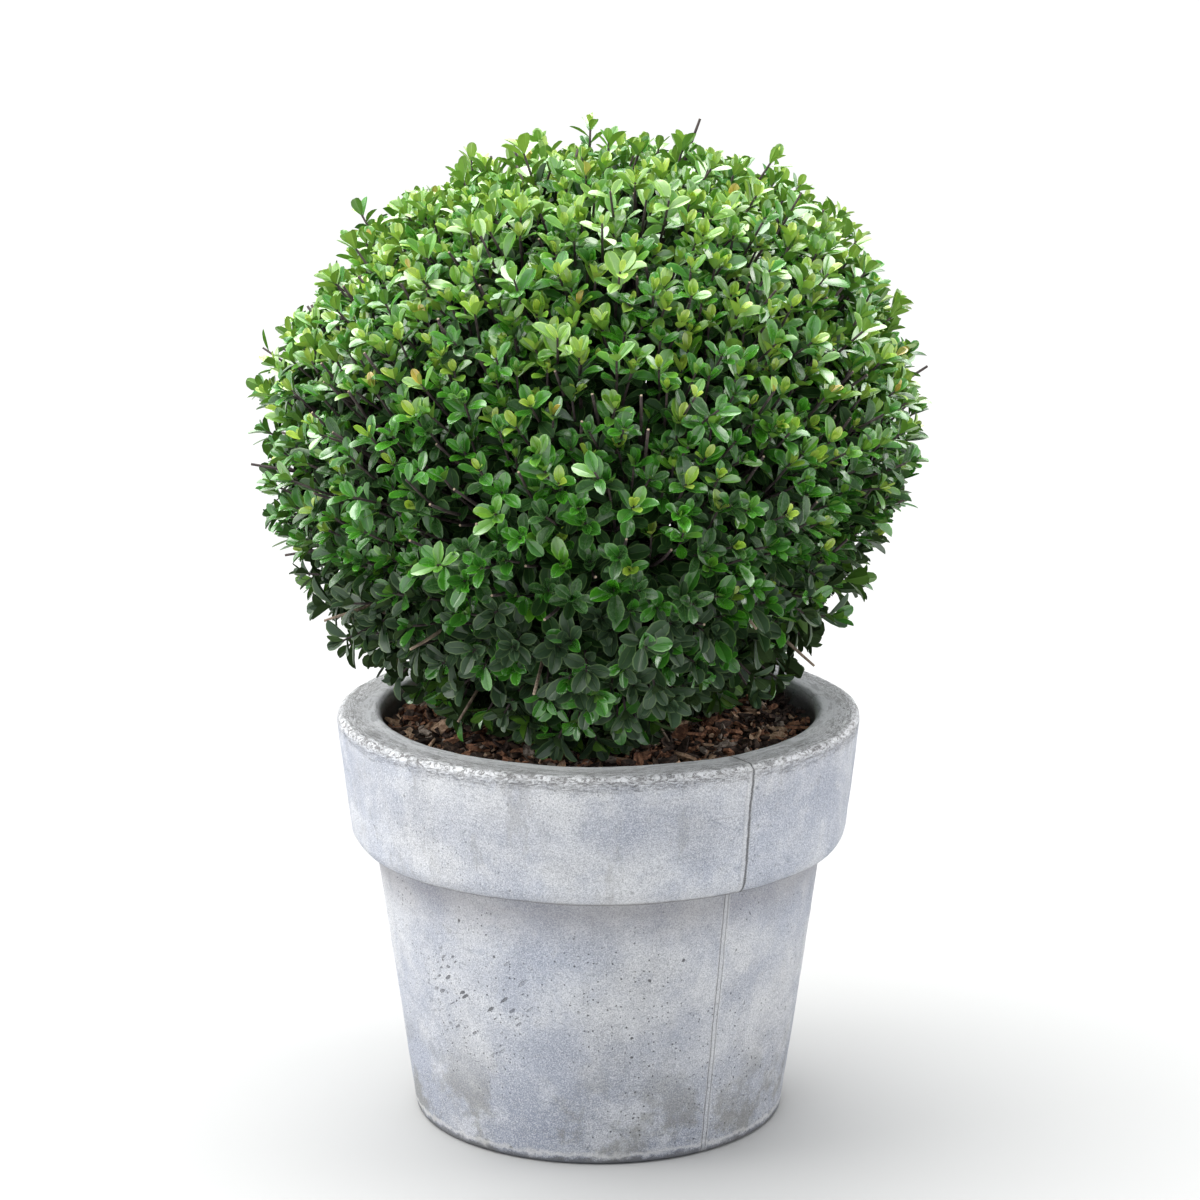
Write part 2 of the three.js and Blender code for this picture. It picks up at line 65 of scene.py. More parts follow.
# What fills the pot
COMPOST_TOP = POT_HEIGHT - 20 * MM
MULCH_TOP = COMPOST_TOP + 6 * MM
MULCH_EDGE = RIM_INNER - 4 * MM
TRUNK_CLEAR = 14 * MM
CHIP_COUNT = 1500
CRUMB_COUNT = 2600
CHIP_WIDTHS = (0.26, 0.56)
CHIP_UNEVEN = 0.24
CHIP_WARP = 0.5
CHIP_ROUGH = 0.3

# The crown: a clipped ball in the solids' masses, stretched a little sideways and down to the mulch.
# Its radii are measured upwards
CENTRE = np.array([0.0, 0.0, POT_HEIGHT + 205 * MM])
ABOVE_CENTRE = np.array([1.06, 1.06, 1.0])
BELOW_CENTRE = np.array([1.06, 1.06, 1.08])
HOLLOW_RADIUS = 122 * MM
MASSES_PER_RING = 5
RING_LATITUDE = math.atan(0.5)
RING_TURN = math.radians(-54)
SPIRAL_TURN = math.radians(137.5)
BOUGH_END = 100 * MM
BOUGH_FIRST = 76 * MM
BOUGH_STEP = 15 * MM
BOUGH_RING_STEP = 83 * MM
FORK_DEPTH = 30 * MM
FORK_DEEPER = 95 * MM
FORK_FIRST_STEP = 45 * MM
FORK_FIRST_WIDTH = 0.08
DEEPEST_FORK = HOLLOW_RADIUS + 16 * MM

# Shoots and leaves at their real size
SHOOT_COUNT = 2150
SHOOT_REACH = 222 * MM
LOWEST_SHOOT = -0.985
LOWEST_TIP = POT_HEIGHT - 2 * MM
SHOOT_LIFT = 40 * MM
SHOOT_RADIUS = 1.3 * MM
SHOOT_BEND_AT = 0.45
SHOOT_BEND_OUT = 0.10
TWIG_RINGS = 4
TWIG_SIDES = 5
LEAF_LENGTH = 18.2 * MM
LEAF_WIDTH = 8.9 * MM
ROSETTE_LEAVES = 5
ROSETTE_SPACING = 1.3 * MM
LEAF_SPACING = 4.2 * MM
LEAVES_PER_SHOOT = 12
FIRST_LEAF = 0.4 * MM
CURVE_STEPS = 16
INNER_LEAVES_PER_TWIG = 4
LEAFY_TWIG_CARRIES = 9
CROWN_LIMIT = 250 * MM
STUB_SHARE = 0.09
STUB_STANDS_OUT = 7 * MM
OLD_STANDS_OUT = 20 * MM
OLD_STUBS_BELOW = 105 * MM
BARE_SHARE = 0.5
BARE_STRETCH = (8 * MM, 20 * MM)
GROWN_ON = (5 * MM, 20 * MM)

# Uneven clipping: how much shorter, which way, and how near that way it starts and is full. It is flatter
# on top, on the right and at a shoulder, and open at two corners over the mulch
UNEVEN_CLIPPING = (
    (20 * MM, (0.0, 0.0, 1.0), 0.72, 1.0),
    (11 * MM, (1.0, 0.0, 0.0), 0.4, 1.0),
    (19 * MM, (-0.72, -0.10, 0.69), 0.72, 0.98),
    (38 * MM, (0.58, -0.36, -0.73), 0.78, 0.98),
    (20 * MM, (-0.56, -0.42, -0.71), 0.80, 0.98),
)
# Waves, tufts and dark pockets all over the crown: two crossing ripples each, with their phases
WAVES = ((9.0, 4.0, 7.0), 1, (-5.0, 10.0, 6.0), 0)
TUFTS = ((25.0, -11.0, 17.0), 0, (13.0, 27.0, -19.0), 2)
POCKETS = ((17.0, -9.0, 14.0), 4, (-12.0, 15.0, 16.0), 1)
WAVE_MM = 3
TUFT_MM = 6
POCKET = 18 * MM

# The trunk and the boughs
TRUNK_FOOT = np.array([5, -4, 290.3]) * MM
TRUNK_TIP = CENTRE + np.array([0, 0, 98 * MM])
TRUNK_RADII = (15 * MM, 5 * MM)
TRUNK_FLARE = 9 * MM
FLARE_FALL = 22
TRUNK_SWAY = np.array([5 * MM, -4 * MM, 0.0])
TRUNK_RINGS = 60
TRUNK_SIDES = 20
BOUGH_RADII = (6.5 * MM, 4.2 * MM)
BOUGH_BOW = 6 * MM
BOUGH_SAG = 4 * MM
BOUGH_RINGS = 26
BOUGH_SIDES = 14
BARK_RIDGES = 7
BARK_RELIEF = 0.045

# The camera, fitted to the rim, the collar and the foot of the pot
CAMERA_DISTANCE = 2.619
CAMERA_ABOVE_RIM = math.radians(14.98)
CAMERA_PITCH = math.radians(13.26)
CAMERA_ASIDE = 1 * MM
CAMERA_LENS = 105

# The lamps: kind, place, power, colour and further settings. They are turned towards the plant's middle
LAMP_AIM = np.array([0, 0, 0.42])
LAMPS = {
    "sky_glow": ("SUN", (-0.3, 0.3, 1.9), 7.4, (1.0, 1.0, 0.98), {"angle": math.radians(76)}),
    "left_window": ("AREA", (-4.2, -0.7, 1.9), 92, (1.0, 0.99, 0.98), {"size": 2.6}),
    "right_window": ("AREA", (4.4, 0.2, 2.0), 96, (1.0, 0.99, 0.98), {"size": 2.6}),
    "front_fill": ("AREA", (-0.8, -4.2, 2.6), 62, (0.93, 0.96, 1.0), {"size": 4.4}),
}
SKY_COLOUR = (0.86, 0.92, 1.0, 1.0)
SKY_STRENGTH = 0.34
FLOOR_SIZE = 80

UP = np.array([0.0, 0.0, 1.0])


def unit(v):
    return v / np.maximum(np.linalg.norm(v, axis=-1, keepdims=True), 1e-12)


def at_crown(directions, radii):
    """Points of the crown in the given directions, at radii that are measured upwards."""
    stretch = np.where(directions[..., 2:] < 0, BELOW_CENTRE, ABOVE_CENTRE)
    return CENTRE + directions * stretch * np.asarray(radii)[..., None]


def crown_radius_of(points):
    """How far out of the crown's middle points lie, as radii measured upwards."""
    away = points - CENTRE
    stretch = np.where(away[..., 2:] < 0, BELOW_CENTRE, ABOVE_CENTRE)
    return np.linalg.norm(away / stretch, axis=-1)


def smooth_step(low, high, x):
    t = np.clip((x - low) / (high - low), 0, 1)
    return t * t * (3 - 2 * t)


def bow(start, middle, end, t):
    """Points along a smooth bow from start to end that the middle point pulls aside."""
    return (1 - t) ** 2 * start + 2 * t * (1 - t) * middle + t ** 2 * end


# Shader maths

def operator(operation, swapped=False):
    def apply(self, other):
        operands = (other, self) if swapped else (self, other)
        return self.finish.maths(operation, *operands)
    return apply


class Value:
    """A number socket. An expression on it adds its Math nodes."""

    def __init__(self, finish, socket):
        self.finish = finish
        self.socket = socket

    __add__ = operator("ADD")
    __radd__ = operator("ADD", swapped=True)
    __sub__ = operator("SUBTRACT")
    __rsub__ = operator("SUBTRACT", swapped=True)
    __mul__ = operator("MULTIPLY")
    __rmul__ = operator("MULTIPLY", swapped=True)
    __pow__ = operator("POWER")

    def under(self, edge, soft):
        """1 below the edge and 0 above it, over a soft step."""
        return self.finish.step(self, edge + soft, edge - soft)

    def over(self, edge, soft):
        """1 above the edge and 0 below it, over a soft step."""
        return self.finish.step(self, edge - soft, edge + soft)

    def near(self, middle, half, soft):
        """1 within half of the middle, over a soft step."""
        return self.finish.maths("ABSOLUTE", self - middle).under(half, soft)


class Finish:
    """A material under construction. A node's inputs are named, or numbered as in _0."""

    def __init__(self, name):
        self.material = bpy.data.materials.new(name)
        self.material.use_nodes = True
        self.tree = self.material.node_tree
        self.shader = self.tree.nodes["Principled BSDF"]
        coordinates = self.tree.nodes.new("ShaderNodeTexCoord")
        self.place = coordinates.outputs["Object"]
        self.uv = coordinates.outputs["UV"]

    def link(self, socket, value):
        if isinstance(value, Value):
            value = value.socket
        if isinstance(value, tuple) and socket.type == "RGBA":
            value = (*value, 1.0)
        if isinstance(value, bpy.types.NodeSocket):
            self.tree.links.new(value, socket)
        else:
            socket.default_value = value

    def node(self, kind, settings=None, **inputs):
        made = self.tree.nodes.new("ShaderNode" + kind)
        for name, value in (settings or {}).items():
            setattr(made, name, value)
        for name, value in inputs.items():
            key = int(name[1:]) if name[0] == "_" else name.replace("_", " ")
            self.link(made.inputs[key], value)
        return made

    def maths(self, operation, *operands):
        inputs = {f"_{i}": value for i, value in enumerate(operands)}
        return Value(self, self.node("Math", {"operation": operation}, **inputs).outputs[0])

    def step(self, value, low, high):
        settings = {"interpolation_type": "SMOOTHSTEP"}
        made = self.node("MapRange", settings, Value=value, From_Min=low, From_Max=high)
        return Value(self, made.outputs["Result"])

    def stretched(self, *scale):
        return self.node("Mapping", Vector=self.place, Scale=scale).outputs[0]

    def noise(self, scale, detail=3.0, roughness=0.55, place=None, distortion=0.0):
        made = self.node("TexNoise", Vector=place or self.place, Scale=scale, Detail=detail,
                         Roughness=roughness, Distortion=distortion)
        return Value(self, made.outputs["Fac"])

    def cells(self, scale, place=None):
        """The distance to the nearest cell's middle, and that cell's random colour."""
        made = self.node("TexVoronoi", Vector=place or self.place, Scale=scale)
        return Value(self, made.outputs["Distance"]), made.outputs["Color"]

    def axes(self, vector):
        made = self.node("SeparateXYZ", Vector=vector)
        return [Value(self, output) for output in made.outputs]

    def blend(self, factor, first, second):
        made = self.node("Mix", {"data_type": "RGBA"}, _0=factor, _6=first, _7=second)
        return made.outputs[2]

    def laid(self, tone, *layers):
        """A tone under thin layers, each a mask and a colour."""
        for mask, colour in layers:
            tone = self.blend(mask, tone, colour)
        return tone

    def bump(self, height, distance, strength=1.0):
        return self.node("Bump", Height=height, Distance=distance, Strength=strength).outputs[0]

    def done(self, **sockets):
        for name, value in sockets.items():
            self.link(self.shader.inputs[name.replace("_", " ")], value)
        return self.material


# Aged cast concrete, a layer at a time

class Concrete(Finish):
    """The pot's finish, with the places round the pot that its layers are laid by."""

    def __init__(self):
        super().__init__("aged_concrete")
        x, y, self.z = self.axes(self.place)
        self.radius = self.maths("SQRT", x * x + y * y)
        turn = self.maths("ARCTAN2", y, x) - SEAM_ANGLE
        wander = (self.noise(18.0, 2.0) - 0.5) * (3 * MM)
        wander = wander + (self.noise(260.0, 3.0) - 0.5) * (1.6 * MM)
        self.from_seam = turn * self.radius + wander
        drawn_out = (self.radius + self.z) * 6.5
        self.ringed = self.node("CombineXYZ", X=x, Y=y, Z=drawn_out).outputs[0]
        self.grain = self.noise(980.0, 3.0, 0.8)
        self.cloud = self.noise(26.0, 6.0, 0.68, distortion=0.5)
        self.crumbs = self.noise(190.0, 5.0, 0.8, place=self.ringed, distortion=0.4)
        split = self.noise(120.0, 2.5, 0.6, place=self.ringed, distortion=0.6).near(0.5, 0.011, 0.011)
        self.cracks = self.maths("MAXIMUM", split, self.crumbs.under(0.45, 0.02))


def mottled(f):
    """Pale and bluish clouds, a darker foot, runs down the sides and a salt-and-pepper grain."""
    broad = f.noise(7.0, 5.0, 0.62)
    run = f.noise(24.0, 5.0, 0.65, place=f.stretched(1.0, 1.0, 0.24), distortion=0.5)
    scuff = f.noise(60.0, 5.0, 0.75, place=f.stretched(1.0, 1.0, 5.0))
    low = f.z.under(70 * MM, 80 * MM)
    band = (f.z + (broad - 0.5) * (60 * MM)).near(POT_HEIGHT - 38 * MM, 12 * MM, 22 * MM)
    return f.laid(
        f.blend(broad.over(0.5, 0.16), (0.42, 0.45, 0.53), (0.595, 0.60, 0.62)),
        (low * 0.8, (0.265, 0.29, 0.36)),
        (band * 0.6, (0.33, 0.355, 0.43)),
        (f.cloud.over(0.56, 0.09) * 0.45, (0.71, 0.715, 0.73)),
        (f.cloud.under(0.43, 0.09) * 0.5, (0.33, 0.355, 0.43)),
        (run.over(0.60, 0.08) * 0.25, (0.40, 0.40, 0.41)),
        (scuff.over(0.60, 0.05) * (0.25 + low * 0.4), (0.24, 0.255, 0.29)),
        (f.grain.over(0.56, 0.05) * 0.45, (0.90, 0.90, 0.90)),
        (f.grain.under(0.44, 0.05) * 0.5, (0.17, 0.18, 0.20)),
    )


def air_holes(f):
    """How deep the concrete is pitted: fine holes in patches, and slanting gouges low on the left."""
    uneven = (f.noise(420.0, 3.0, 0.7) - 0.5) * 0.5
    fewer = 1.0 - f.z.over(COLLAR_FOOT, 1 * MM) * 0.6
    small, small_tint = f.cells(300.0)
    patchy = f.noise(11.0, 3.0).over(0.49, 0.06)
    small_pit = (small + uneven).under(0.15, 0.06) * f.axes(small_tint)[0].over(0.64, 0.02)
    small_pit = small_pit * patchy * fewer
    large, large_tint = f.cells(80.0)
    large_pit = (large + uneven * 0.5).under(0.08, 0.03) * f.axes(large_tint)[0].over(0.86, 0.02)
    slanted = f.node("Mapping", {"vector_type": "TEXTURE"}, Vector=f.place, Rotation=(0.0, 0.85, 0.0),
                     Scale=(0.5, 1.0, 2.2)).outputs[0]
    gouge, gouge_tint = f.cells(150.0, place=slanted)
    measured = f.node("VectorMath", {"operation": "DISTANCE"}, _0=f.place, _1=GOUGES)
    away = Value(f, measured.outputs["Value"])
    size, choice, _ = f.axes(gouge_tint)
    chosen = choice.over(0.52, 0.02) * away.under(40 * MM, 24 * MM)
    gouges = (gouge + uneven * 1.1 - size * 0.24).under(0.14, 0.05) * chosen
    return f.maths("MAXIMUM", f.maths("MAXIMUM", small_pit, large_pit * fewer), gouges)


def rim_layer(f, tone):
    """A streaky grey top, lightened with painted light against the crown's shade, and a worn outer edge,
    cracked and flecked. Also returns that edge.
    """
    top = f.z.over(POT_HEIGHT - 5 * MM, 3 * MM)
    streak = f.noise(45.0, 5.0, 0.75, place=f.ringed)
    edge = (f.z + (streak - 0.5) * (26 * MM)).over(POT_HEIGHT - 9 * MM, 5 * MM)
    edge = edge * f.radius.over(RIM_RADIUS - 18 * MM, 8 * MM)
    return f.laid(
        tone,
        # Painted light: the rim's top is lightened to make up for the shade that the crown casts on it
        (top * 0.7, (0.86, 0.86, 0.87)),
        (top * streak.over(0.54, 0.04) * 0.4, (0.24, 0.24, 0.245)),
        (edge * f.crumbs.over(0.60, 0.03) * 0.25, (0.80, 0.79, 0.77)),
        (edge * f.cracks * 0.7, (0.12, 0.11, 0.105)),
    ), edge


def stains(f, tone):
    """Stains and painted shade under the collar, painted shade in the crevice below it, smudges and drips,
    painted brown shade on the inner wall, and a worn foot with a painted contact shadow.
    """
    break_up = (f.noise(70.0, 4.0) - 0.5) * (12 * MM)
    body = f.radius.under(BODY_TOP_RADIUS + 10 * MM, 6 * MM)
    # The body under the collar: a stain, darkened further as painted shade under the collar's overhang
    stain_and_collar_shade = (f.z + break_up).near(COLLAR_FOOT - 10 * MM, 10 * MM, 26 * MM) * body
    # Painted shade in the crevice where the collar meets the body
    collar_crevice_shade = (f.z + break_up * 0.4).near(COLLAR_FOOT + 2 * MM, 2.5 * MM, 3 * MM) * body
    chipped = (f.z + break_up * 0.15).near(COLLAR_FOOT + 1.6 * MM, 1.2 * MM, 1.2 * MM)
    smudge = f.z.under(60 * MM, 40 * MM) * f.noise(15.0, 6.0, 0.7).over(0.54, 0.05)
    drip = f.noise(26.0, 6.0, 0.75, place=f.stretched(1.0, 1.0, 0.3)).over(0.60, 0.04)
    # The inner wall below the rim, darkened brown as painted shade
    inside = f.radius.under(RIM_INNER + 1 * MM, 1.5 * MM) * f.z.over(COMPOST_TOP - 40 * MM, 10 * MM)
    ragged_foot = f.z + (f.noise(110.0, 4.0, 0.7) - 0.5) * (14 * MM)
    return f.laid(
        tone,
        (stain_and_collar_shade * 0.62, (0.22, 0.205, 0.215)),
        (collar_crevice_shade * 0.7, (0.10, 0.09, 0.08)),
        (chipped * f.crumbs.over(0.44, 0.05) * 0.7, (0.13, 0.12, 0.115)),
        (smudge * 0.6, (0.21, 0.205, 0.18)),
        (drip * f.z.over(COLLAR_FOOT, 1 * MM) * 0.3, (0.28, 0.275, 0.27)),
        (inside * (f.z + break_up * 0.3).under(POT_HEIGHT - 7 * MM, 3 * MM) * 0.75, (0.09, 0.075, 0.062)),
        (ragged_foot.near(8 * MM, 1.5 * MM, 1.5 * MM) * 0.55, (0.68, 0.67, 0.65)),
        # Painted contact shadow: a dark band at the very bottom of the foot
        (ragged_foot.under(5 * MM, 2 * MM) * 0.75, (0.13, 0.13, 0.135)),
    )


def mould_seam(f):
    """The mould's seam, ragged on the collar and double on the body, a scratch, and a painted highlight
    along the seam's flank.
    """
    on_collar = f.z.over(COLLAR_FOOT, 1 * MM)
    ragged = f.from_seam + (f.crumbs - 0.5) * on_collar * (5 * MM)
    crack = ragged.near(0.0, on_collar * (0.4 * MM) + 0.3 * MM, 0.5 * MM)
    twin = f.from_seam.near(-3.4 * MM, 0.3 * MM, 0.4 * MM) * (1.0 - on_collar)
    scratch = f.z.near(POT_HEIGHT - 37 * MM, 0.3 * MM, 0.4 * MM)
    scratch = scratch * f.from_seam.near(-22 * MM, 13 * MM, 4 * MM)
    # Painted highlight: a pale band along one side of the seam, as if its ridge caught the light
    seam_flank_highlight = ragged.near(-1.5 * MM, 3 * MM, 1 * MM)
    return f.maths("MAXIMUM", crack * (0.6 + on_collar * 0.4), twin * 0.8), scratch, seam_flank_highlight


def concrete_finish():
    f = Concrete()
    pits = air_holes(f)
    tone, edge = rim_layer(f, mottled(f))
    seam, scratch, seam_flank_highlight = mould_seam(f)
    tone = f.laid(
        # The pits and gouges are painted near black, as shade in the holes
        stains(f, f.blend(pits * 0.8, tone, (0.08, 0.083, 0.09))),
        (seam_flank_highlight * 0.35, (0.66, 0.66, 0.66)),
        (seam * 0.75, (0.11, 0.11, 0.115)),
        (scratch * 0.4, (0.20, 0.20, 0.21)),
    )
    height = (f.grain * 0.5 + f.cloud * 0.6 + edge * (f.crumbs * 0.4 - f.cracks * 0.5)
              - pits * 2.4 - seam * 1.4 + seam_flank_highlight * 0.4)
    return f.done(Base_Color=tone, Roughness=0.84 + f.grain * 0.1, Normal=f.bump(height, 0.9 * MM, 0.9),
                  Specular_IOR_Level=0.3)


def compost_finish():
    f = Finish("moist_compost")
    crumb = f.noise(190.0, 5.0, 0.7)
    fibre = f.noise(70.0, 4.0, 0.6)
    tone = f.blend(crumb.over(0.5, 0.14), (0.012, 0.009, 0.007), (0.045, 0.032, 0.022))
    tone = f.blend(fibre.over(0.62, 0.06) * 0.5, tone, (0.085, 0.055, 0.035))
    return f.done(Base_Color=tone, Roughness=0.95, Normal=f.bump(crumb + fibre * 0.5, 3 * MM),
                  Specular_IOR_Level=0.25)


def chip_finish(name, light, dark):
    """Chipped bark with a fibrous grain and a few pale broken faces."""
    f = Finish(name)
    grain = f.noise(240.0, 4.0, 0.65, place=f.stretched(1.0, 0.35, 1.6), distortion=0.8)
    patch = f.noise(95.0, 3.0)
    tone = f.laid(
        f.blend(grain.over(0.5, 0.12), dark, light),
        (patch.over(0.62, 0.05) * 0.35, (0.30, 0.19, 0.12)),
        (patch.under(0.36, 0.06) * 0.6, (0.035, 0.022, 0.016)),
    )
    return f.done(Base_Color=tone, Roughness=0.88, Normal=f.bump(grain, 1.2 * MM), Specular_IOR_Level=0.3)


def bark_finish(name, light, dark):
    """Smooth young bark, finely ridged along the limb, with small pale pores."""
    f = Finish(name)
    ridge = f.noise(330.0, 4.0, 0.65, place=f.stretched(1.0, 1.0, 0.25))
    pores = f.cells(260.0, place=f.stretched(0.6, 0.6, 1.6))[0].under(0.13, 0.05)
    tone = f.laid(
        f.blend(ridge.over(0.5, 0.14), dark, light),
        (f.noise(80.0, 4.0).over(0.56, 0.08) * 0.4, tuple(c * 1.7 for c in light)),
        (pores * 0.5, (0.30, 0.25, 0.20)),
    )
    return f.done(Base_Color=tone, Roughness=0.72, Normal=f.bump(ridge - pores * 0.3, 0.8 * MM),
                  Specular_IOR_Level=0.4)


def leaf_finish(name, upper, under, roughness, shine):
    """A glossy, domed leaf with a pale midrib, a margin paled as a painted highlight, and a paler, duller
    underside brightened further as a painted glow.
    """
    f = Finish(name)
    across, along, _ = f.axes(f.uv)
    mottle = f.noise(380.0, 2.0)
    aside = f.maths("ABSOLUTE", across - 0.5)
    rib = aside.under(0.025, 0.018) * along.under(0.86, 0.08)
    # Painted highlight: the margin is paled as if the leaf's edge caught the light
    margin = aside.over(0.42, 0.025)
    pale = (upper[0] * 2.0 + 0.06, upper[1] * 1.6 + 0.09, upper[2] * 1.5 + 0.03)
    below = Value(f, f.node("NewGeometry").outputs["Backfacing"])
    tone = f.laid(
        f.blend(f.noise(34.0, 1.0).over(0.5, 0.2) * 0.5, upper, tuple(c * 1.28 for c in upper)),
        (mottle.under(0.44, 0.08) * 0.22, tuple(c * 0.6 for c in upper)),
        (f.maths("MAXIMUM", rib * 0.4, margin * 0.6), pale),
        # Painted glow: the underside's tint is brightened as if light shone through the leaf
        (below, under),
    )
    dome = 1.0 - (aside * 2.0) ** 2.0
    height = dome * 1.8 + mottle * 0.4 - aside.under(0.06, 0.05) * 0.6
    return f.done(Base_Color=tone, Roughness=roughness + mottle * 0.1 + below * 0.25,
                  Normal=f.bump(height, 0.35 * MM, 0.8), Specular_IOR_Level=shine,
                  Coat_Weight=shine, Coat_Roughness=0.26, Coat_IOR=1.7)


def plain_finish(name, colour, scale, roughness):
    f = Finish(name)
    speckle = f.noise(scale, 4.0)
    tone = f.blend(speckle.over(0.5, 0.15), tuple(c * 0.82 for c in colour), colour)
    return f.done(Base_Color=tone, Roughness=roughness, Normal=f.bump(speckle, 0.2 * MM))


# The leaves' tints, from the youngest tips to the shaded leaves inside: upper side, underside, roughness
# and shine. The undersides are paler, and brightened further as a painted glow of light through the leaf
LEAF_TINTS = {
    "tip_amber": ((0.46, 0.36, 0.05), (0.50, 0.42, 0.06), 0.36, 0.9),
    "tip_gold": ((0.34, 0.49, 0.045), (0.45, 0.60, 0.07), 0.36, 1.0),
    "tip_lime": ((0.255, 0.450, 0.034), (0.38, 0.57, 0.060), 0.35, 1.0),
    "fresh_green": ((0.146, 0.330, 0.020), (0.30, 0.49, 0.042), 0.33, 1.0),
    "bright_green": ((0.090, 0.282, 0.013), (0.22, 0.42, 0.034), 0.29, 1.0),
    "mid_green": ((0.044, 0.226, 0.008), (0.15, 0.34, 0.026), 0.21, 0.8),
    "cool_green": ((0.033, 0.164, 0.012), (0.11, 0.25, 0.028), 0.20, 0.6),
    "deep_green": ((0.036, 0.108, 0.025), (0.060, 0.140, 0.030), 0.22, 0.4),
    "foot_green": ((0.037, 0.073, 0.034), (0.060, 0.105, 0.036), 0.28, 0.2),
    "shade_green": ((0.018, 0.053, 0.013), (0.030, 0.068, 0.018), 0.45, 0.1),
}
TINT_INDEX = {name: i for i, name in enumerate(LEAF_TINTS)}
# The greens from light to shade, and how shaded a leaf is where each gives way to the next
GREENS = ("fresh_green", "bright_green", "mid_green", "cool_green", "deep_green")
GREEN_STEPS = (0.14, 0.36, 0.58, 0.80)
SPRAY_VARIETY = 0.17
LEAF_VARIETY = 0.12
AMBER_SHARE = 0.06

# The mulch's barks: light and dark tone, and the share of the chips up to and with this bark
BARK_TINTS = {
    "bark_red_brown": ((0.42, 0.21, 0.12), (0.14, 0.065, 0.04), 0.26),
    "bark_dark_brown": ((0.085, 0.055, 0.042), (0.022, 0.015, 0.012), 0.74),
    "bark_tan": ((0.72, 0.50, 0.34), (0.34, 0.21, 0.13), 0.87),
    "bark_grey_brown": ((0.46, 0.38, 0.32), (0.18, 0.14, 0.11), 1.0),
}


# Making meshes

def object_of(name, data):
    made = bpy.data.objects.new(name, data)
    bpy.context.scene.collection.objects.link(made)
    return made


def mesh_piece(name, points, faces, materials, tints=None, uvs=None, smooth=True):
    """A mesh from points and faces of four corners, where -1 stands for a missing one."""
    sizes = (faces >= 0).sum(axis=1)
    corners = faces[faces >= 0]
    mesh = bpy.data.meshes.new(name)
    mesh.vertices.add(len(points))
    mesh.vertices.foreach_set("co", points.astype(np.float32).ravel())
    mesh.loops.add(len(corners))
    mesh.loops.foreach_set("vertex_index", corners.astype(np.int32))
    mesh.polygons.add(len(faces))
    starts = np.concatenate([[0], np.cumsum(sizes)[:-1]]).astype(np.int32)
    mesh.polygons.foreach_set("loop_start", starts)
    mesh.polygons.foreach_set("use_smooth", np.full(len(faces), smooth))
    for material in materials:
        mesh.materials.append(material)
    if tints is not None:
        mesh.polygons.foreach_set("material_index", tints.astype(np.int32))
    if uvs is not None:
        layer = mesh.uv_layers.new(name="leaf")
        layer.uv.foreach_set("vector", uvs[corners].astype(np.float32).ravel())
    mesh.update(calc_edges=True)
    mesh.validate()
    return object_of(name, mesh)


def finish_piece(piece, slot, *nodes):
    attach(piece, "root")
    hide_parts(*nodes)


def repeated(one, count, points_each):
    """One copy's faces, numbered on for all copies, whose points follow each other."""
    shift = (np.arange(count) * points_each)[:, None, None]
    return np.where(one < 0, -1, one + shift).reshape(-1, 4)


def end_fan(first, sides, upwards):
    """Triangles that close a ring of points, fanned out from its first one."""
    near = first + np.arange(1, sides - 1)
    pair = (near, near + 1) if upwards else (near + 1, near)
    return np.stack([np.full(sides - 2, first), *pair, np.full(sides - 2, -1)], axis=1)


def tubes(paths, radii, sides):
    """Closed, tapering tubes along many paths. The last result marks the faces at the far ends."""
    count, rings, _ = paths.shape
    ways = unit(np.gradient(paths, axis=1))
    first = unit(np.cross(ways, np.where(np.abs(ways[..., 2:3]) > 0.9, [1.0, 0.0, 0.0], UP)))
    second = np.cross(ways, first)
    angle = np.arange(sides) * 2 * np.pi / sides
    ring = first[:, :, None] * np.cos(angle)[:, None] + second[:, :, None] * np.sin(angle)[:, None]
    points = paths[:, :, None] + ring * radii[:, :, None, None]
    here = np.arange((rings - 1) * sides)
    after = np.where(here % sides == sides - 1, here + 1 - sides, here + 1)
    walls = np.stack([here, after, after + sides, here + sides], axis=1)
    cap = end_fan((rings - 1) * sides, sides, upwards=True)
    one = np.concatenate([walls, cap, end_fan(0, sides, upwards=False)])
    far_end = np.repeat([0, 1, 0], [len(walls), len(cap), len(cap)])
    return points.reshape(-1, 3), repeated(one, count, rings * sides), np.tile(far_end, count)


# The pot, drawn up ring by ring from its underside, over the rim and down inside

def arc(cx, cz, radius, start, end, steps):
    angles = np.radians(np.linspace(start, end, steps + 1))
    return [(cx + radius * math.cos(a), cz + radius * math.sin(a)) for a in angles]


def spread(points):
    """Adds points along a profile so that no stretch is longer than the profile step."""
    result = [points[0]]
    for start, end in zip(points, points[1:]):
        pieces = max(1, math.ceil(math.dist(start, end) / PROFILE_STEP))
        result += np.linspace(start, end, pieces + 1)[1:].tolist()
    return result


def pot_profile():
    collar_radius = RIM_RADIUS - COLLAR_TAPER
    side = [
        *arc(FOOT_RADIUS - FOOT_ROUND, FOOT_ROUND, FOOT_ROUND, -90, -5, 4),
        (BODY_TOP_RADIUS, COLLAR_FOOT),
        *arc(collar_radius - COLLAR_ROUND, COLLAR_FOOT + COLLAR_ROUND, COLLAR_ROUND, -90, 0, 10),
        *arc(RIM_RADIUS - RIM_ROUND, POT_HEIGHT - RIM_ROUND, RIM_ROUND, 0, 90, 7),
        *arc(RIM_INNER + RIM_ROUND, POT_HEIGHT - RIM_ROUND, RIM_ROUND, 90, 175, 6),
        (RIM_INNER - INNER_TAPER, COMPOST_TOP - WALL_BELOW_COMPOST),
    ]
    return spread(side)


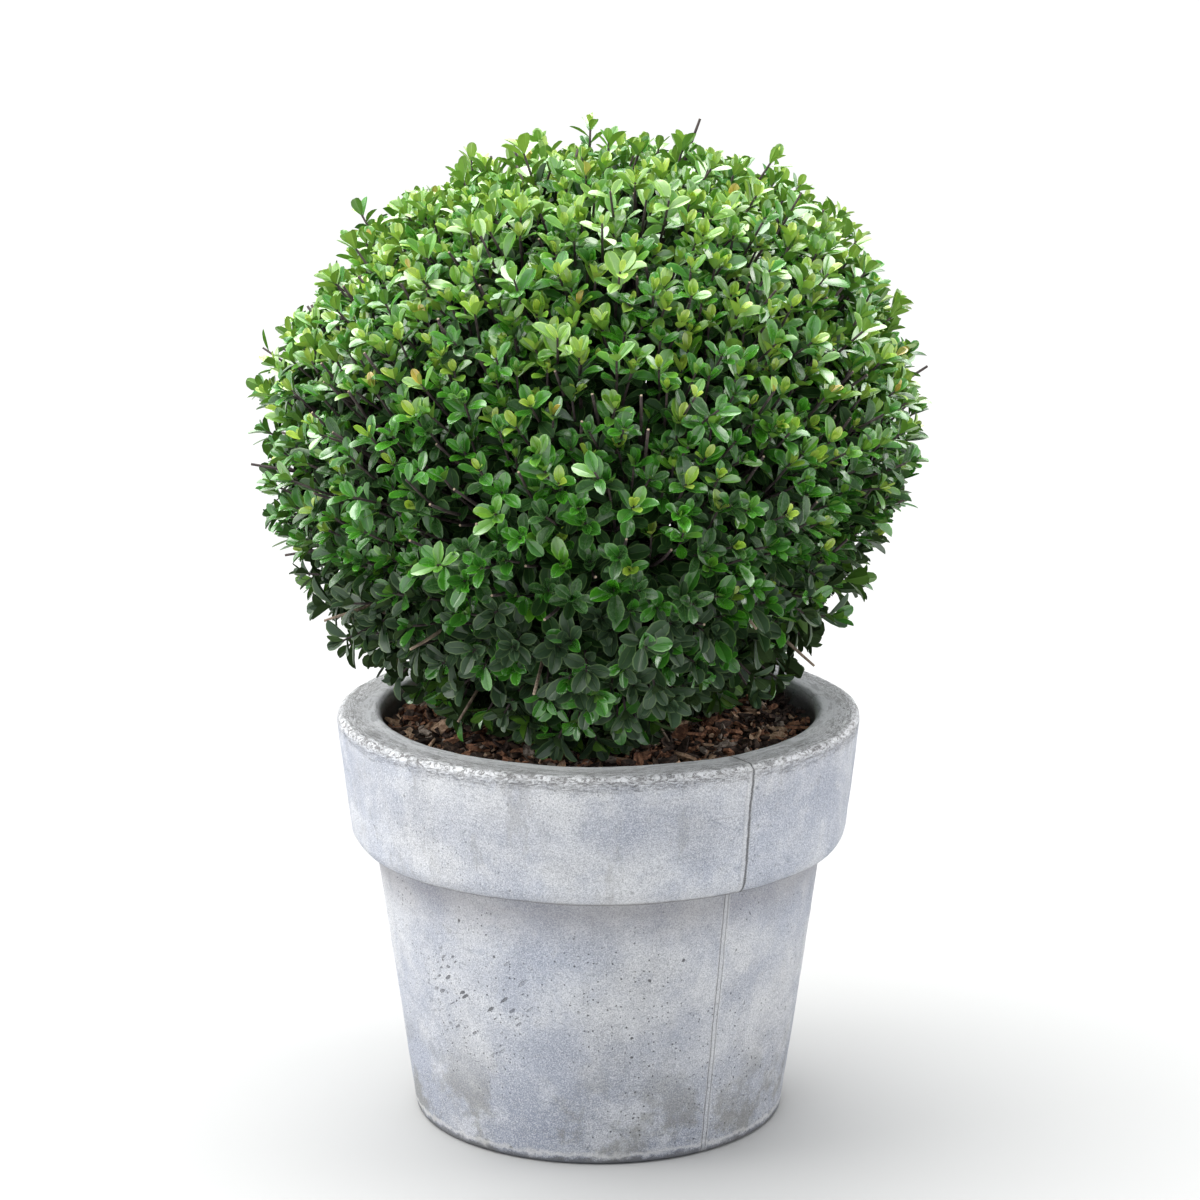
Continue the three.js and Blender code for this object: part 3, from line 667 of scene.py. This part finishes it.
# Relief cast in the pot: the lumps' size, their height, the vertices that they move, and how fine they get
POT_RELIEF = {
    "cast_waves": (0.07, 1.6 * MM, "sides", 2),
    "cast_lumps": (0.016, 0.7 * MM, "sides", 2),
    "rim_crumbs": (0.006, 0.5 * MM, "rim_edge", 4),
}


def displace(piece, name, size, strength, group, depth):
    texture = bpy.data.textures.new(name, "CLOUDS")
    texture.noise_scale = size
    texture.noise_depth = depth
    modifier = piece.modifiers.new(name, "DISPLACE")
    modifier.texture = texture
    modifier.strength = strength
    modifier.vertex_group = group
    bpy.ops.object.modifier_apply(modifier=name)


def weigh(pot):
    """Weights for the relief: over all the pot's sides, and at the rim's outer edge."""
    sides = pot.vertex_groups.new(name="sides")
    rim_edge = pot.vertex_groups.new(name="rim_edge")
    for vertex in pot.data.vertices:
        x, y, z = vertex.co
        high = smooth_step(POT_HEIGHT - 14 * MM, POT_HEIGHT - 3 * MM, z)
        outer = smooth_step(RIM_RADIUS - 14 * MM, RIM_RADIUS - 4 * MM, math.hypot(x, y))
        sides.add([vertex.index], smooth_step(2 * MM, 10 * MM, z), "REPLACE")
        rim_edge.add([vertex.index], high * outer, "REPLACE")


def draw_up(profile):
    """A closed round piece, extruded ring by ring from a disc at its foot."""
    radius, height = profile[0]
    bpy.ops.mesh.primitive_circle_add(vertices=POT_SEGMENTS, radius=radius, fill_type="NGON",
                                      location=(0, 0, height))
    bpy.ops.object.mode_set(mode="EDIT")
    bpy.ops.mesh.select_all(action="SELECT")
    for next_radius, next_height in profile[1:]:
        bpy.ops.mesh.extrude_region_move(
            TRANSFORM_OT_translate={"value": (0, 0, next_height - height)})
        scale = next_radius / radius
        bpy.ops.transform.resize(value=(scale, scale, 1), center_override=(0, 0, next_height))
        radius, height = next_radius, next_height
    bpy.ops.mesh.select_all(action="SELECT")
    bpy.ops.mesh.normals_make_consistent(inside=False)
    bpy.ops.object.mode_set(mode="OBJECT")
    return bpy.context.object


def make_pot():
    pot = draw_up(pot_profile())
    pot.name = "concrete_pot"
    weigh(pot)
    for name, settings in POT_RELIEF.items():
        displace(pot, name, *settings)
    bpy.ops.object.shade_smooth()
    bpy.ops.object.transform_apply(location=True, rotation=True, scale=True)
    pot.data.materials.append(concrete_finish())
    finish_piece(pot, "concrete", "pot")


# Bark mulch: chips in a loose layer, with crumbs of the same bark between them

def chip_shapes(rng, length, thick, sides):
    """Flat, slightly warped chips with uneven outlines, as (chips, points, 3)."""
    count = len(length)
    length = length[:, None]
    width = length * rng.uniform(*CHIP_WIDTHS, (count, 1))
    outline = 1 + rng.uniform(-CHIP_UNEVEN, CHIP_UNEVEN, (count, sides))
    angle = np.arange(sides) * 2 * np.pi / sides
    x = np.cos(angle) * outline * length / 2
    y = np.sin(angle) * outline * width / 2
    lift = (x / length) ** 2 * rng.uniform(-CHIP_WARP, CHIP_WARP, (count, 1)) * length * 0.4
    depth = rng.uniform(*thick, (count, 1))
    rough = rng.uniform(-CHIP_ROUGH, CHIP_ROUGH, (count, sides)) * depth
    above = np.stack([x, y, depth / 2 + lift + rough], axis=-1)
    below = np.stack([x * 0.92, y * 0.92, lift - depth / 2], axis=-1)
    return np.concatenate([above, below], axis=1)


def chips(rng, count, lengths, thick, sides, heights, tilt):
    """Chips strewn over the compost, as points, faces and a number a face that picks its bark."""
    length = rng.uniform(*lengths, count)
    points = chip_shapes(rng, length, thick, sides)
    lean = rng.normal(0, tilt, count)
    turn = rng.uniform(0, 2 * np.pi, count)
    roll = rng.normal(0, tilt, count)
    spin = rotation("z", turn) @ rotation("x", lean) @ rotation("y", roll)
    points = np.einsum("nij,npj->npi", spin, points)
    reach = np.sqrt(rng.uniform(TRUNK_CLEAR ** 2, MULCH_EDGE ** 2, count))
    reach = np.minimum(reach, MULCH_EDGE - length * 0.32)
    around = rng.uniform(0, 2 * np.pi, count)
    rise = rng.uniform(*heights, count)
    middle = np.stack([reach * np.cos(around), reach * np.sin(around), rise], axis=1)
    points = points + middle[:, None]
    here = np.arange(sides)
    after = (here + 1) % sides
    walls = np.stack([here, here + sides, after + sides, after], axis=1)
    one = np.concatenate([walls, end_fan(0, sides, upwards=True), end_fan(sides, sides, upwards=False)])
    pick = np.repeat(rng.random(count), len(one))
    return points.reshape(-1, 3), repeated(one, count, 2 * sides), pick


def rotation(axis, angles):
    """Matrices that turn about x, y or z, one for each angle."""
    a, b = {"x": (1, 2), "y": (2, 0), "z": (0, 1)}[axis]
    turns = np.tile(np.eye(3), (len(angles), 1, 1))
    turns[:, a, a] = turns[:, b, b] = np.cos(angles)
    turns[:, b, a] = np.sin(angles)
    turns[:, a, b] = -np.sin(angles)
    return turns


def joined(*groups):
    points, faces, picks, base = [], [], [], 0
    for group_points, group_faces, pick in groups:
        points.append(group_points)
        faces.append(np.where(group_faces < 0, -1, group_faces + base))
        picks.append(pick)
        base += len(group_points)
    return np.concatenate(points), np.concatenate(faces), np.concatenate(picks)


def make_mulch():
    rng = np.random.default_rng(5)
    large = chips(rng, CHIP_COUNT, lengths=(6 * MM, 20 * MM), thick=(1.2 * MM, 3.5 * MM), sides=7,
                  heights=(COMPOST_TOP + 1.5 * MM, MULCH_TOP + 3.5 * MM), tilt=0.42)
    small = chips(rng, CRUMB_COUNT, lengths=(2.5 * MM, 7 * MM), thick=(1 * MM, 2.5 * MM), sides=5,
                  heights=(COMPOST_TOP + 1 * MM, MULCH_TOP + 1.5 * MM), tilt=0.5)
    points, faces, pick = joined(large, small)
    materials = [chip_finish(name, light, dark) for name, (light, dark, _) in BARK_TINTS.items()]
    tints = np.searchsorted([share for _, _, share in BARK_TINTS.values()], pick)
    mulch = mesh_piece("bark_mulch_chips", points, faces, materials, tints, smooth=False)
    finish_piece(mulch, "bark_chips", "bark_mulch")


# The trunk and the boughs, along the same lines as the solids, with the relief of their bark

def trunk_point(z):
    t = (z - TRUNK_FOOT[2]) / (TRUNK_TIP[2] - TRUNK_FOOT[2])
    sway = math.sin(t * math.pi * 2) * math.sin(t * math.pi)
    return TRUNK_FOOT + (TRUNK_TIP - TRUNK_FOOT) * t + TRUNK_SWAY * sway


def mass_directions():
    """Each mass: its name, its ring, its number there and its way out from the crown's middle."""
    masses = [("top", None, 0, UP)]
    for ring, latitude, turn in (("upper", RING_LATITUDE, 0.0),
                                 ("lower", -RING_LATITUDE, math.pi / MASSES_PER_RING)):
        for k in range(MASSES_PER_RING):
            around = RING_TURN + turn + k * 2 * math.pi / MASSES_PER_RING
            direction = np.array([math.cos(latitude) * math.cos(around),
                                  math.cos(latitude) * math.sin(around), math.sin(latitude)])
            masses.append((f"{ring}_{k + 1}", ring, k, direction))
    return masses


def bough_path(ring, order, direction):
    """A smooth bow from the trunk, through a bend halfway, to the bough's tip."""
    rise = BOUGH_RING_STEP if ring == "upper" else 0.0
    step = (2 * order) % MASSES_PER_RING
    root = trunk_point(COMPOST_TOP + BOUGH_FIRST + rise + step * BOUGH_STEP)
    tip = CENTRE + direction * BOUGH_END
    out = unit(np.array([direction[0], direction[1], 0.0]))
    bend = (root + tip) / 2 + out * BOUGH_BOW - UP * BOUGH_SAG
    t = np.linspace(0, 1, BOUGH_RINGS)[:, None]
    return bow(root, 2 * bend - (root + tip) / 2, tip, t)


def barked_limb(name, path, radii, sides, node, material, rng):
    """One limb with ridged bark, a little crooked, that replaces its solid."""
    rings = len(path)
    points, faces, _ = tubes(path[None], radii[None], sides)
    shaped = points.reshape(rings, sides, 3)
    ridges = np.sin(np.arange(sides) * 2 * np.pi / sides * BARK_RIDGES + rng.uniform(0, 6)) * 0.5
    ridges = ridges + rng.normal(0, 0.5, (rings, sides))
    out = unit(shaped - path[:, None])
    shaped += out * (ridges * radii[:, None] * BARK_RELIEF)[..., None]
    limb = mesh_piece(name, shaped.reshape(-1, 3), faces, [material])
    finish_piece(limb, "wood", node)


def make_limbs(masses):
    rng = np.random.default_rng(21)
    material = bark_finish("limb_bark", (0.15, 0.11, 0.095), (0.055, 0.038, 0.033))
    path = np.array([trunk_point(z) for z in np.linspace(TRUNK_FOOT[2], TRUNK_TIP[2], TRUNK_RINGS)])
    t = np.linspace(0, 1, TRUNK_RINGS)
    radii = TRUNK_RADII[0] + (TRUNK_RADII[1] - TRUNK_RADII[0]) * t ** 0.8
    radii = radii + TRUNK_FLARE * np.exp(-t * FLARE_FALL)
    barked_limb("trunk_bark", path, radii, TRUNK_SIDES, "trunk", material, rng)
    radii = np.linspace(*BOUGH_RADII, BOUGH_RINGS)
    for name, *place in masses[1:]:
        path = bough_path(*place)
        barked_limb(f"bough_bark_{name}", path, radii, BOUGH_SIDES, f"bough_{name}", material, rng)


# The branching rule of the crown, carried on to the finest twigs

def spiral_directions():
    i = np.arange(SHOOT_COUNT)
    z = 1 - (i + 0.5) / SHOOT_COUNT * (1 - LOWEST_SHOOT)
    r = np.sqrt(1 - z ** 2)
    return np.stack([r * np.cos(i * SPIRAL_TURN), r * np.sin(i * SPIRAL_TURN), z], axis=1)


def hub_of(group):
    """Where a group's limb forks: the wider the group, the deeper inside the crown."""
    mean = unit(group.sum(axis=0))
    widest = math.acos(max(-1.0, min(1.0, float((group @ mean).min()))))
    depth = FORK_DEPTH + FORK_DEEPER * widest + FORK_FIRST_STEP * (1 - math.exp(-widest / FORK_FIRST_WIDTH))
    return at_crown(mean, max(DEEPEST_FORK, SHOOT_REACH - depth))


def halves(indices, directions):
    """A group of shoots, parted in two across its wider way."""
    group = directions[indices]
    mean = unit(group.sum(axis=0))
    side = unit(np.cross(mean, UP) if abs(mean[2]) < 0.999 else np.array([1.0, 0, 0]))
    other = np.cross(mean, side)
    axis = side if np.ptp(group @ side) > np.ptp(group @ other) else other
    order = indices[np.argsort(group @ axis)]
    half = (len(order) + 1) // 2
    return order[:half], order[half:]


def grow(indices, start, directions, twigs, shoots):
    """Forks a group until each shoot stands alone. A twig is (from, to, shoots carried)."""
    if len(indices) == 1:
        shoots.append((indices[0], start))
        return
    for half in halves(indices, directions):
        if len(half) == 1:
            grow(half, start, directions, twigs, shoots)
        else:
            hub = hub_of(directions[half])
            twigs.append((start, hub, len(half)))
            grow(half, hub, directions, twigs, shoots)


def crooked(starts, ends, rings, rng, amount):
    """Twig paths from starts to ends, each a little bent."""
    t = np.linspace(0, 1, rings)[:, None]
    straight = starts[:, None] * (1 - t) + ends[:, None] * t
    length = np.linalg.norm(ends - starts, axis=1)[:, None, None]
    aside = unit(rng.normal(size=(len(starts), 1, 3)))
    return straight + aside * length * amount * np.sin(np.pi * t)


def shoot_curves(hubs, tips, count):
    """Shoots that set off outwards from their forks and bend up to their tips."""
    outward = unit(hubs - CENTRE)
    length = np.linalg.norm(tips - hubs, axis=1)[:, None]
    middle = hubs + (tips - hubs) * SHOOT_BEND_AT + outward * length * SHOOT_BEND_OUT
    t = np.linspace(0, 1, count)[:, None]
    return bow(hubs[:, None], middle[:, None], tips[:, None], t)


# A leaf: two halves that meet in a fold, each with rows of points from the fold to the edge
LEAF_ROWS = np.array([0.12, 0.36, 0.63, 0.85, 0.96])
LEAF_HALF_WIDTHS = np.array([0.12, 0.38, 0.50, 0.40, 0.21])


def leaf_template():
    """Points as (along, across from -0.5 to 0.5), and faces of three or four corners."""
    points, faces = [], []
    for side in (-1, 1):
        root = len(points)
        points.append((0.0, 0.0))
        for along, half in zip(LEAF_ROWS, LEAF_HALF_WIDTHS):
            points += [(along, 0.0), (along, side * half)]
        points.append((1.0, 0.0))
        tip = len(points) - 1
        half_faces = [(root, root + 2, root + 1, -1), (tip - 2, tip - 1, tip, -1)]
        half_faces += [(i, i + 1, i + 3, i + 2) for i in range(root + 1, tip - 2, 2)]
        if side > 0:
            half_faces = [(c, b, a, -1) if d < 0 else (d, c, b, a) for a, b, c, d in half_faces]
        faces += half_faces
    return np.array(points), np.array(faces)


TEMPLATE_POINTS, TEMPLATE_FACES = leaf_template()


def leaf_points(root, way, face, length, width, cup, bend):
    """All the leaves' points at once, as (leaves, points, 3)."""
    side = unit(np.cross(face, way))
    along, across = TEMPLATE_POINTS.T[:, None, :, None]
    length, width = length[:, None, None], width[:, None, None]
    lift = (cup[:, None, None] * np.abs(across) * 2 * width * 0.5
            + bend[:, None, None] * (along ** 2 - 0.3 * along) * length)
    return (root[:, None] + way[:, None] * along * length + side[:, None] * across * width
            + face[:, None] * lift)


def leaf_mesh(name, points, tints, materials):
    count, points_each, _ = points.shape
    faces = repeated(TEMPLATE_FACES, count, points_each)
    along, across = TEMPLATE_POINTS.T
    # The margin lies at the edge of the pattern all along the leaf
    wide = np.concatenate([[1.0], np.repeat(LEAF_HALF_WIDTHS * 2, 2), [1.0]])
    uvs = np.tile(np.stack([0.5 + across / np.tile(wide, 2), along], axis=1), (count, 1))
    return mesh_piece(name, points.reshape(-1, 3), faces, materials,
                      np.repeat(tints, len(TEMPLATE_FACES)), uvs)


def leaf_tints(rng, shoot, depth, height, count):
    """Tints by spray: bright greens high up and deep ones low as painted light and shade from above, darker
    ones far down their shoots, older and partly painted shade, and young tips.
    """
    spray = rng.normal(0, SPRAY_VARIETY, count)[shoot]
    own = rng.normal(0, LEAF_VARIETY, len(shoot))
    inside = 0.28 * smooth_step(5 * MM, 24 * MM, depth)
    # Painted light and shade: leaves are tinted lighter high on the crown, and darker low down and far down
    # their shoots
    shade = 1.0 - 0.84 * height + spray + own + inside
    tint = np.array([TINT_INDEX[name] for name in GREENS])[np.searchsorted(GREEN_STEPS, shade)]
    at_foot = (tint == TINT_INDEX["deep_green"]) & (height < 0.26)
    tint = np.where(at_foot, TINT_INDEX["foot_green"], tint)
    tint = np.where(depth > (20 + 12 * height) * MM, TINT_INDEX["shade_green"], tint)
    fresh = rng.random(count)[shoot] < 0.80 * height - 0.10
    amber = rng.random(count)[shoot] < AMBER_SHARE
    young = np.where(depth < 1.9 * MM, TINT_INDEX["tip_gold"], TINT_INDEX["tip_lime"])
    young = np.where(amber & (depth < 2.0 * MM) & (height > 0.5), TINT_INDEX["tip_amber"], young)
    return np.where(fresh & (depth < 3.6 * MM), young, tint)


def leaf_depths(rng, count):
    """How far below its tip each leaf stands. Some shoots are bare below their rosette."""
    step = np.arange(LEAVES_PER_SHOOT)
    below = FIRST_LEAF + ROSETTE_SPACING * np.minimum(step, ROSETTE_LEAVES)
    below = below + LEAF_SPACING * np.maximum(step - ROSETTE_LEAVES, 0)
    below = below * rng.uniform(0.85, 1.15, (count, 1))
    bare = rng.random((count, 1)) < BARE_SHARE
    return below + bare * (step > ROSETTE_LEAVES) * rng.uniform(*BARE_STRETCH, (count, 1))


def grow_leaves(rng, hubs, tips, radial):
    """Leaves in a spiral down each shoot: a rosette at the tip, then longer, sparser ones."""
    count = len(tips)
    below = leaf_depths(rng, count)
    share = 1 - below / np.linalg.norm(tips - hubs, axis=1)[:, None]
    shoot, number = np.nonzero(share > 0.02)
    depth = below[shoot, number]
    at = share[shoot, number] * CURVE_STEPS
    low = np.clip(np.floor(at).astype(int), 0, CURVE_STEPS - 1)
    part = (at - low)[:, None]
    curves = shoot_curves(hubs, tips, CURVE_STEPS + 1)
    root = curves[shoot, low] * (1 - part) + curves[shoot, low + 1] * part
    axis = unit(curves[shoot, low + 1] - curves[shoot, low])
    n = len(shoot)
    turn = rng.uniform(0, 2 * np.pi, count)[shoot] + number * SPIRAL_TURN + rng.normal(0, 0.2, n)
    grown = np.minimum(number / ROSETTE_LEAVES, 1)
    opened = np.radians(16 + 36 * grown ** 0.8 + 12 * (number > ROSETTE_LEAVES) + rng.normal(0, 10, n))
    height = smooth_step(-0.95, 0.9, (root[:, 2] - CENTRE[2]) / SHOOT_REACH)
    size = (0.50 + 0.53 * grown ** 0.7) * rng.uniform(0.82, 1.14, n)
    size *= rng.uniform(0.86, 1.14, count)[shoot] * (1.2 - 0.2 * np.minimum(height * 2, 1))
    points = set_leaves(rng, root, axis, turn, opened, radial[shoot], size)
    return points, leaf_tints(rng, shoot, depth, height, count)


def set_leaves(rng, root, axis, turn, opened, radial, size):
    """Opens each leaf away from its twig's axis, its face to the tip and the light."""
    n = len(root)
    first = unit(np.cross(axis, radial + [0.01, 0.02, 0.03]))
    second = np.cross(axis, first)
    ray = first * np.cos(turn)[:, None] + second * np.sin(turn)[:, None]
    opened = opened[:, None]
    way = unit(axis * np.cos(opened) + ray * np.sin(opened) + UP * 0.08 + rng.normal(0, 0.08, (n, 3)))
    face = axis * np.sin(opened) - ray * np.cos(opened) + UP * 0.30 + rng.normal(0, 0.14, (n, 3))
    face = unit(face - way * (face * way).sum(axis=1, keepdims=True))
    wide = LEAF_WIDTH * size * rng.uniform(0.88, 1.14, n)
    return leaf_points(root, way, face, LEAF_LENGTH * size, wide,
                       rng.uniform(0.22, 0.75, n), rng.uniform(-0.24, 0.16, n))


def grow_inner_leaves(rng, starts, ends):
    """Older, shaded leaves along the twigs inside the crown."""
    twig = np.repeat(np.arange(len(starts)), INNER_LEAVES_PER_TWIG)
    n = len(twig)
    along = rng.uniform(0.15, 0.95, n)[:, None]
    root = starts[twig] * (1 - along) + ends[twig] * along
    axis = unit(ends[twig] - starts[twig])
    points = set_leaves(rng, root, axis, rng.uniform(0, 2 * np.pi, n), np.radians(rng.uniform(45, 80, n)),
                        unit(root - CENTRE), rng.uniform(0.9, 1.2, n))
    return points, np.full(n, TINT_INDEX["shade_green"])


def keep_clear(points, tints):
    """Drops the leaves that pass the crown's limit or touch the mulch or the pot."""
    over_mulch = np.hypot(points[..., 0], points[..., 1]) < RIM_INNER - 2 * MM
    lowest = np.where(over_mulch, MULCH_TOP + 2 * MM, POT_HEIGHT + 1.5 * MM)
    clear = (points[..., 2] > lowest) & (crown_radius_of(points) < CROWN_LIMIT)
    keep = clear.all(axis=1)
    return points[keep], tints[keep]


def ripples(directions, first, first_phase, second, second_phase):
    """Two crossing ripples over the crown, from -1 to 1."""
    return np.sin(directions @ first + first_phase) * np.sin(directions @ second + second_phase)


def shoot_tips(directions, rng):
    """Tips on the clipped ball, which lean up from the way out. Some have grown on past it."""
    count = len(directions)
    reach = SHOOT_REACH + rng.normal(0, 4.8 * MM, count)
    reach = reach + (ripples(directions, *WAVES) * WAVE_MM + ripples(directions, *TUFTS) * TUFT_MM) * MM
    for shorter, way, start, full in UNEVEN_CLIPPING:
        reach -= shorter * smooth_step(start, full, directions @ way)
    reach -= POCKET * smooth_step(0.55, 0.85, ripples(directions, *POCKETS))
    grown_on = rng.random(count) < 0.11 + 0.10 * smooth_step(-0.2, 0.9, directions[:, 2])
    reach = reach + grown_on * rng.uniform(*GROWN_ON, count)
    aside = rng.normal(0, 4.2 * MM, (count, 3))
    lift = SHOOT_LIFT * (1 - directions[:, 2:] ** 2)
    tips = at_crown(unit(directions * SHOOT_REACH + aside + UP * lift), reach)
    tips[:, 2] = np.maximum(tips[:, 2], LOWEST_TIP)
    return tips


def forked(start, indices, directions):
    """One mass by the branching rule: twigs' ends, what they carry, its shoots and their forks."""
    first_hub = hub_of(directions[indices])
    twigs = [(start, first_hub, len(indices))]
    shoots = []
    grow(indices, first_hub, directions, twigs, shoots)
    return [np.array(column) for column in (*zip(*twigs), *zip(*shoots))]


def make_twigs(name, rng, twigs, hubs, tips, stub, old, materials):
    """Twigs and shoots. The cut end of a stub is pale wood, and an old stub has pale bark."""
    starts, ends, carried = twigs
    thick = SHOOT_RADIUS * carried ** 0.30
    twig_radii = np.linspace(1.12, 0.95, TWIG_RINGS) * thick[:, None]
    limbs = tubes(crooked(starts, ends, TWIG_RINGS, rng, 0.05), twig_radii, TWIG_SIDES)
    fine = np.where(stub, 1.25, 1.0)[:, None] * np.linspace(1.0, 0.62, TWIG_RINGS) * SHOOT_RADIUS
    points, faces, far_end = tubes(shoot_curves(hubs, tips, TWIG_RINGS), fine, TWIG_SIDES)
    faces_each = len(faces) // len(tips)
    cut = far_end * np.repeat(stub, faces_each)
    tint = np.where((cut == 0) & np.repeat(old, faces_each), 2, cut)
    points, faces, tint = joined((limbs[0], limbs[1], limbs[2] * 0), (points, faces, tint))
    piece = mesh_piece(f"twigs_{name}", points, faces, materials, tint)
    finish_piece(piece, "wood", f"foliage_{name}")


def make_mass(name, ring, order, direction, indices, directions, tips, leaf_materials, wood_materials):
    rng = np.random.default_rng(300 + len(name) * 7 + order * 13 + (ring == "upper") * 101)
    start = bough_path(ring, order, direction)[-1] if ring else TRUNK_TIP + UP * 0.3 * MM
    starts, ends, carried, own, hubs = forked(start, indices, directions)
    tips = tips[own]
    # Clipped stubs are bare, and reach out as far as the leaves round them. The lowest are old and pale
    stub = rng.random(len(own)) < STUB_SHARE
    old = stub & (tips[:, 2] < CENTRE[2] - OLD_STUBS_BELOW)
    longer = stub * STUB_STANDS_OUT + old * rng.uniform(0, OLD_STANDS_OUT, len(own))
    tips = tips + unit(tips - hubs) * longer[:, None]
    make_twigs(name, rng, (starts, ends, carried), hubs, tips, stub, old, wood_materials)

    hubs, tips = hubs[~stub], tips[~stub]
    outer = grow_leaves(rng, hubs, tips, unit(tips - CENTRE))
    leafy = carried < LEAFY_TWIG_CARRIES
    inner = grow_inner_leaves(rng, starts[leafy], ends[leafy])
    points, tints = keep_clear(*(np.concatenate(pair) for pair in zip(outer, inner)))
    finish_piece(leaf_mesh(f"leaves_{name}", points, tints, leaf_materials), "leaves", f"foliage_{name}")


def make_crown(masses):
    rng = np.random.default_rng(77)
    directions = spiral_directions()
    tips = shoot_tips(directions, rng)
    nearest = np.argmax(directions @ np.array([mass[3] for mass in masses]).T, axis=1)
    leaf_materials = [leaf_finish(f"leaf_{name}", *tint) for name, tint in LEAF_TINTS.items()]
    wood_materials = [
        bark_finish("twig_bark", (0.062, 0.045, 0.042), (0.024, 0.017, 0.017)),
        plain_finish("cut_wood", (0.38, 0.30, 0.21), 900.0, 0.8),
        bark_finish("old_twig_bark", (0.30, 0.23, 0.17), (0.15, 0.11, 0.08)),
    ]
    for i, mass in enumerate(masses):
        make_mass(*mass, np.nonzero(nearest == i)[0], directions, tips, leaf_materials, wood_materials)


# Floor, light and camera

def make_floor():
    bpy.ops.mesh.primitive_plane_add(size=FLOOR_SIZE, location=(0, 0, 0))
    floor = bpy.context.object
    floor.name = "floor"
    floor.data.materials.append(Finish("pale_floor").done(Base_Color=(0.38, 0.38, 0.38), Roughness=0.9))


def make_sky():
    world = bpy.data.worlds.new("soft_sky")
    bpy.context.scene.world = world
    world.use_nodes = True
    background = world.node_tree.nodes["Background"]
    background.inputs["Color"].default_value = SKY_COLOUR
    background.inputs["Strength"].default_value = SKY_STRENGTH


def make_lamps():
    for name, (kind, place, power, colour, settings) in LAMPS.items():
        lamp = bpy.data.lights.new(name, kind)
        lamp.energy = power
        lamp.color = colour
        if kind == "AREA":
            lamp.shape = "DISK"
        for setting, value in settings.items():
            setattr(lamp, setting, value)
        lit = object_of(name, lamp)
        lit.location = place
        lit.rotation_euler = turned_to(LAMP_AIM - np.array(place))


def turned_to(way):
    """Angles that point a lamp's own -Z along the given way."""
    x, y, z = way
    return (math.atan2(math.hypot(x, y), -z), 0.0, math.atan2(-x, y))


def make_camera():
    camera = bpy.data.cameras.new("camera")
    camera.lens = CAMERA_LENS
    placed = object_of("camera", camera)
    placed.location = (
        CAMERA_ASIDE,
        -CAMERA_DISTANCE * math.cos(CAMERA_ABOVE_RIM),
        POT_HEIGHT + CAMERA_DISTANCE * math.sin(CAMERA_ABOVE_RIM),
    )
    placed.rotation_euler = (math.radians(90) - CAMERA_PITCH, 0, 0)
    bpy.context.scene.camera = placed


def dress_compost():
    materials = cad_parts["compost"].data.materials
    materials.clear()
    materials.append(compost_finish())


bpy.context.scene.view_settings.view_transform = "Standard"
make_floor()
make_sky()
make_lamps()
make_camera()
make_pot()
dress_compost()
make_mulch()
MASSES = mass_directions()
make_limbs(MASSES)
make_crown(MASSES)
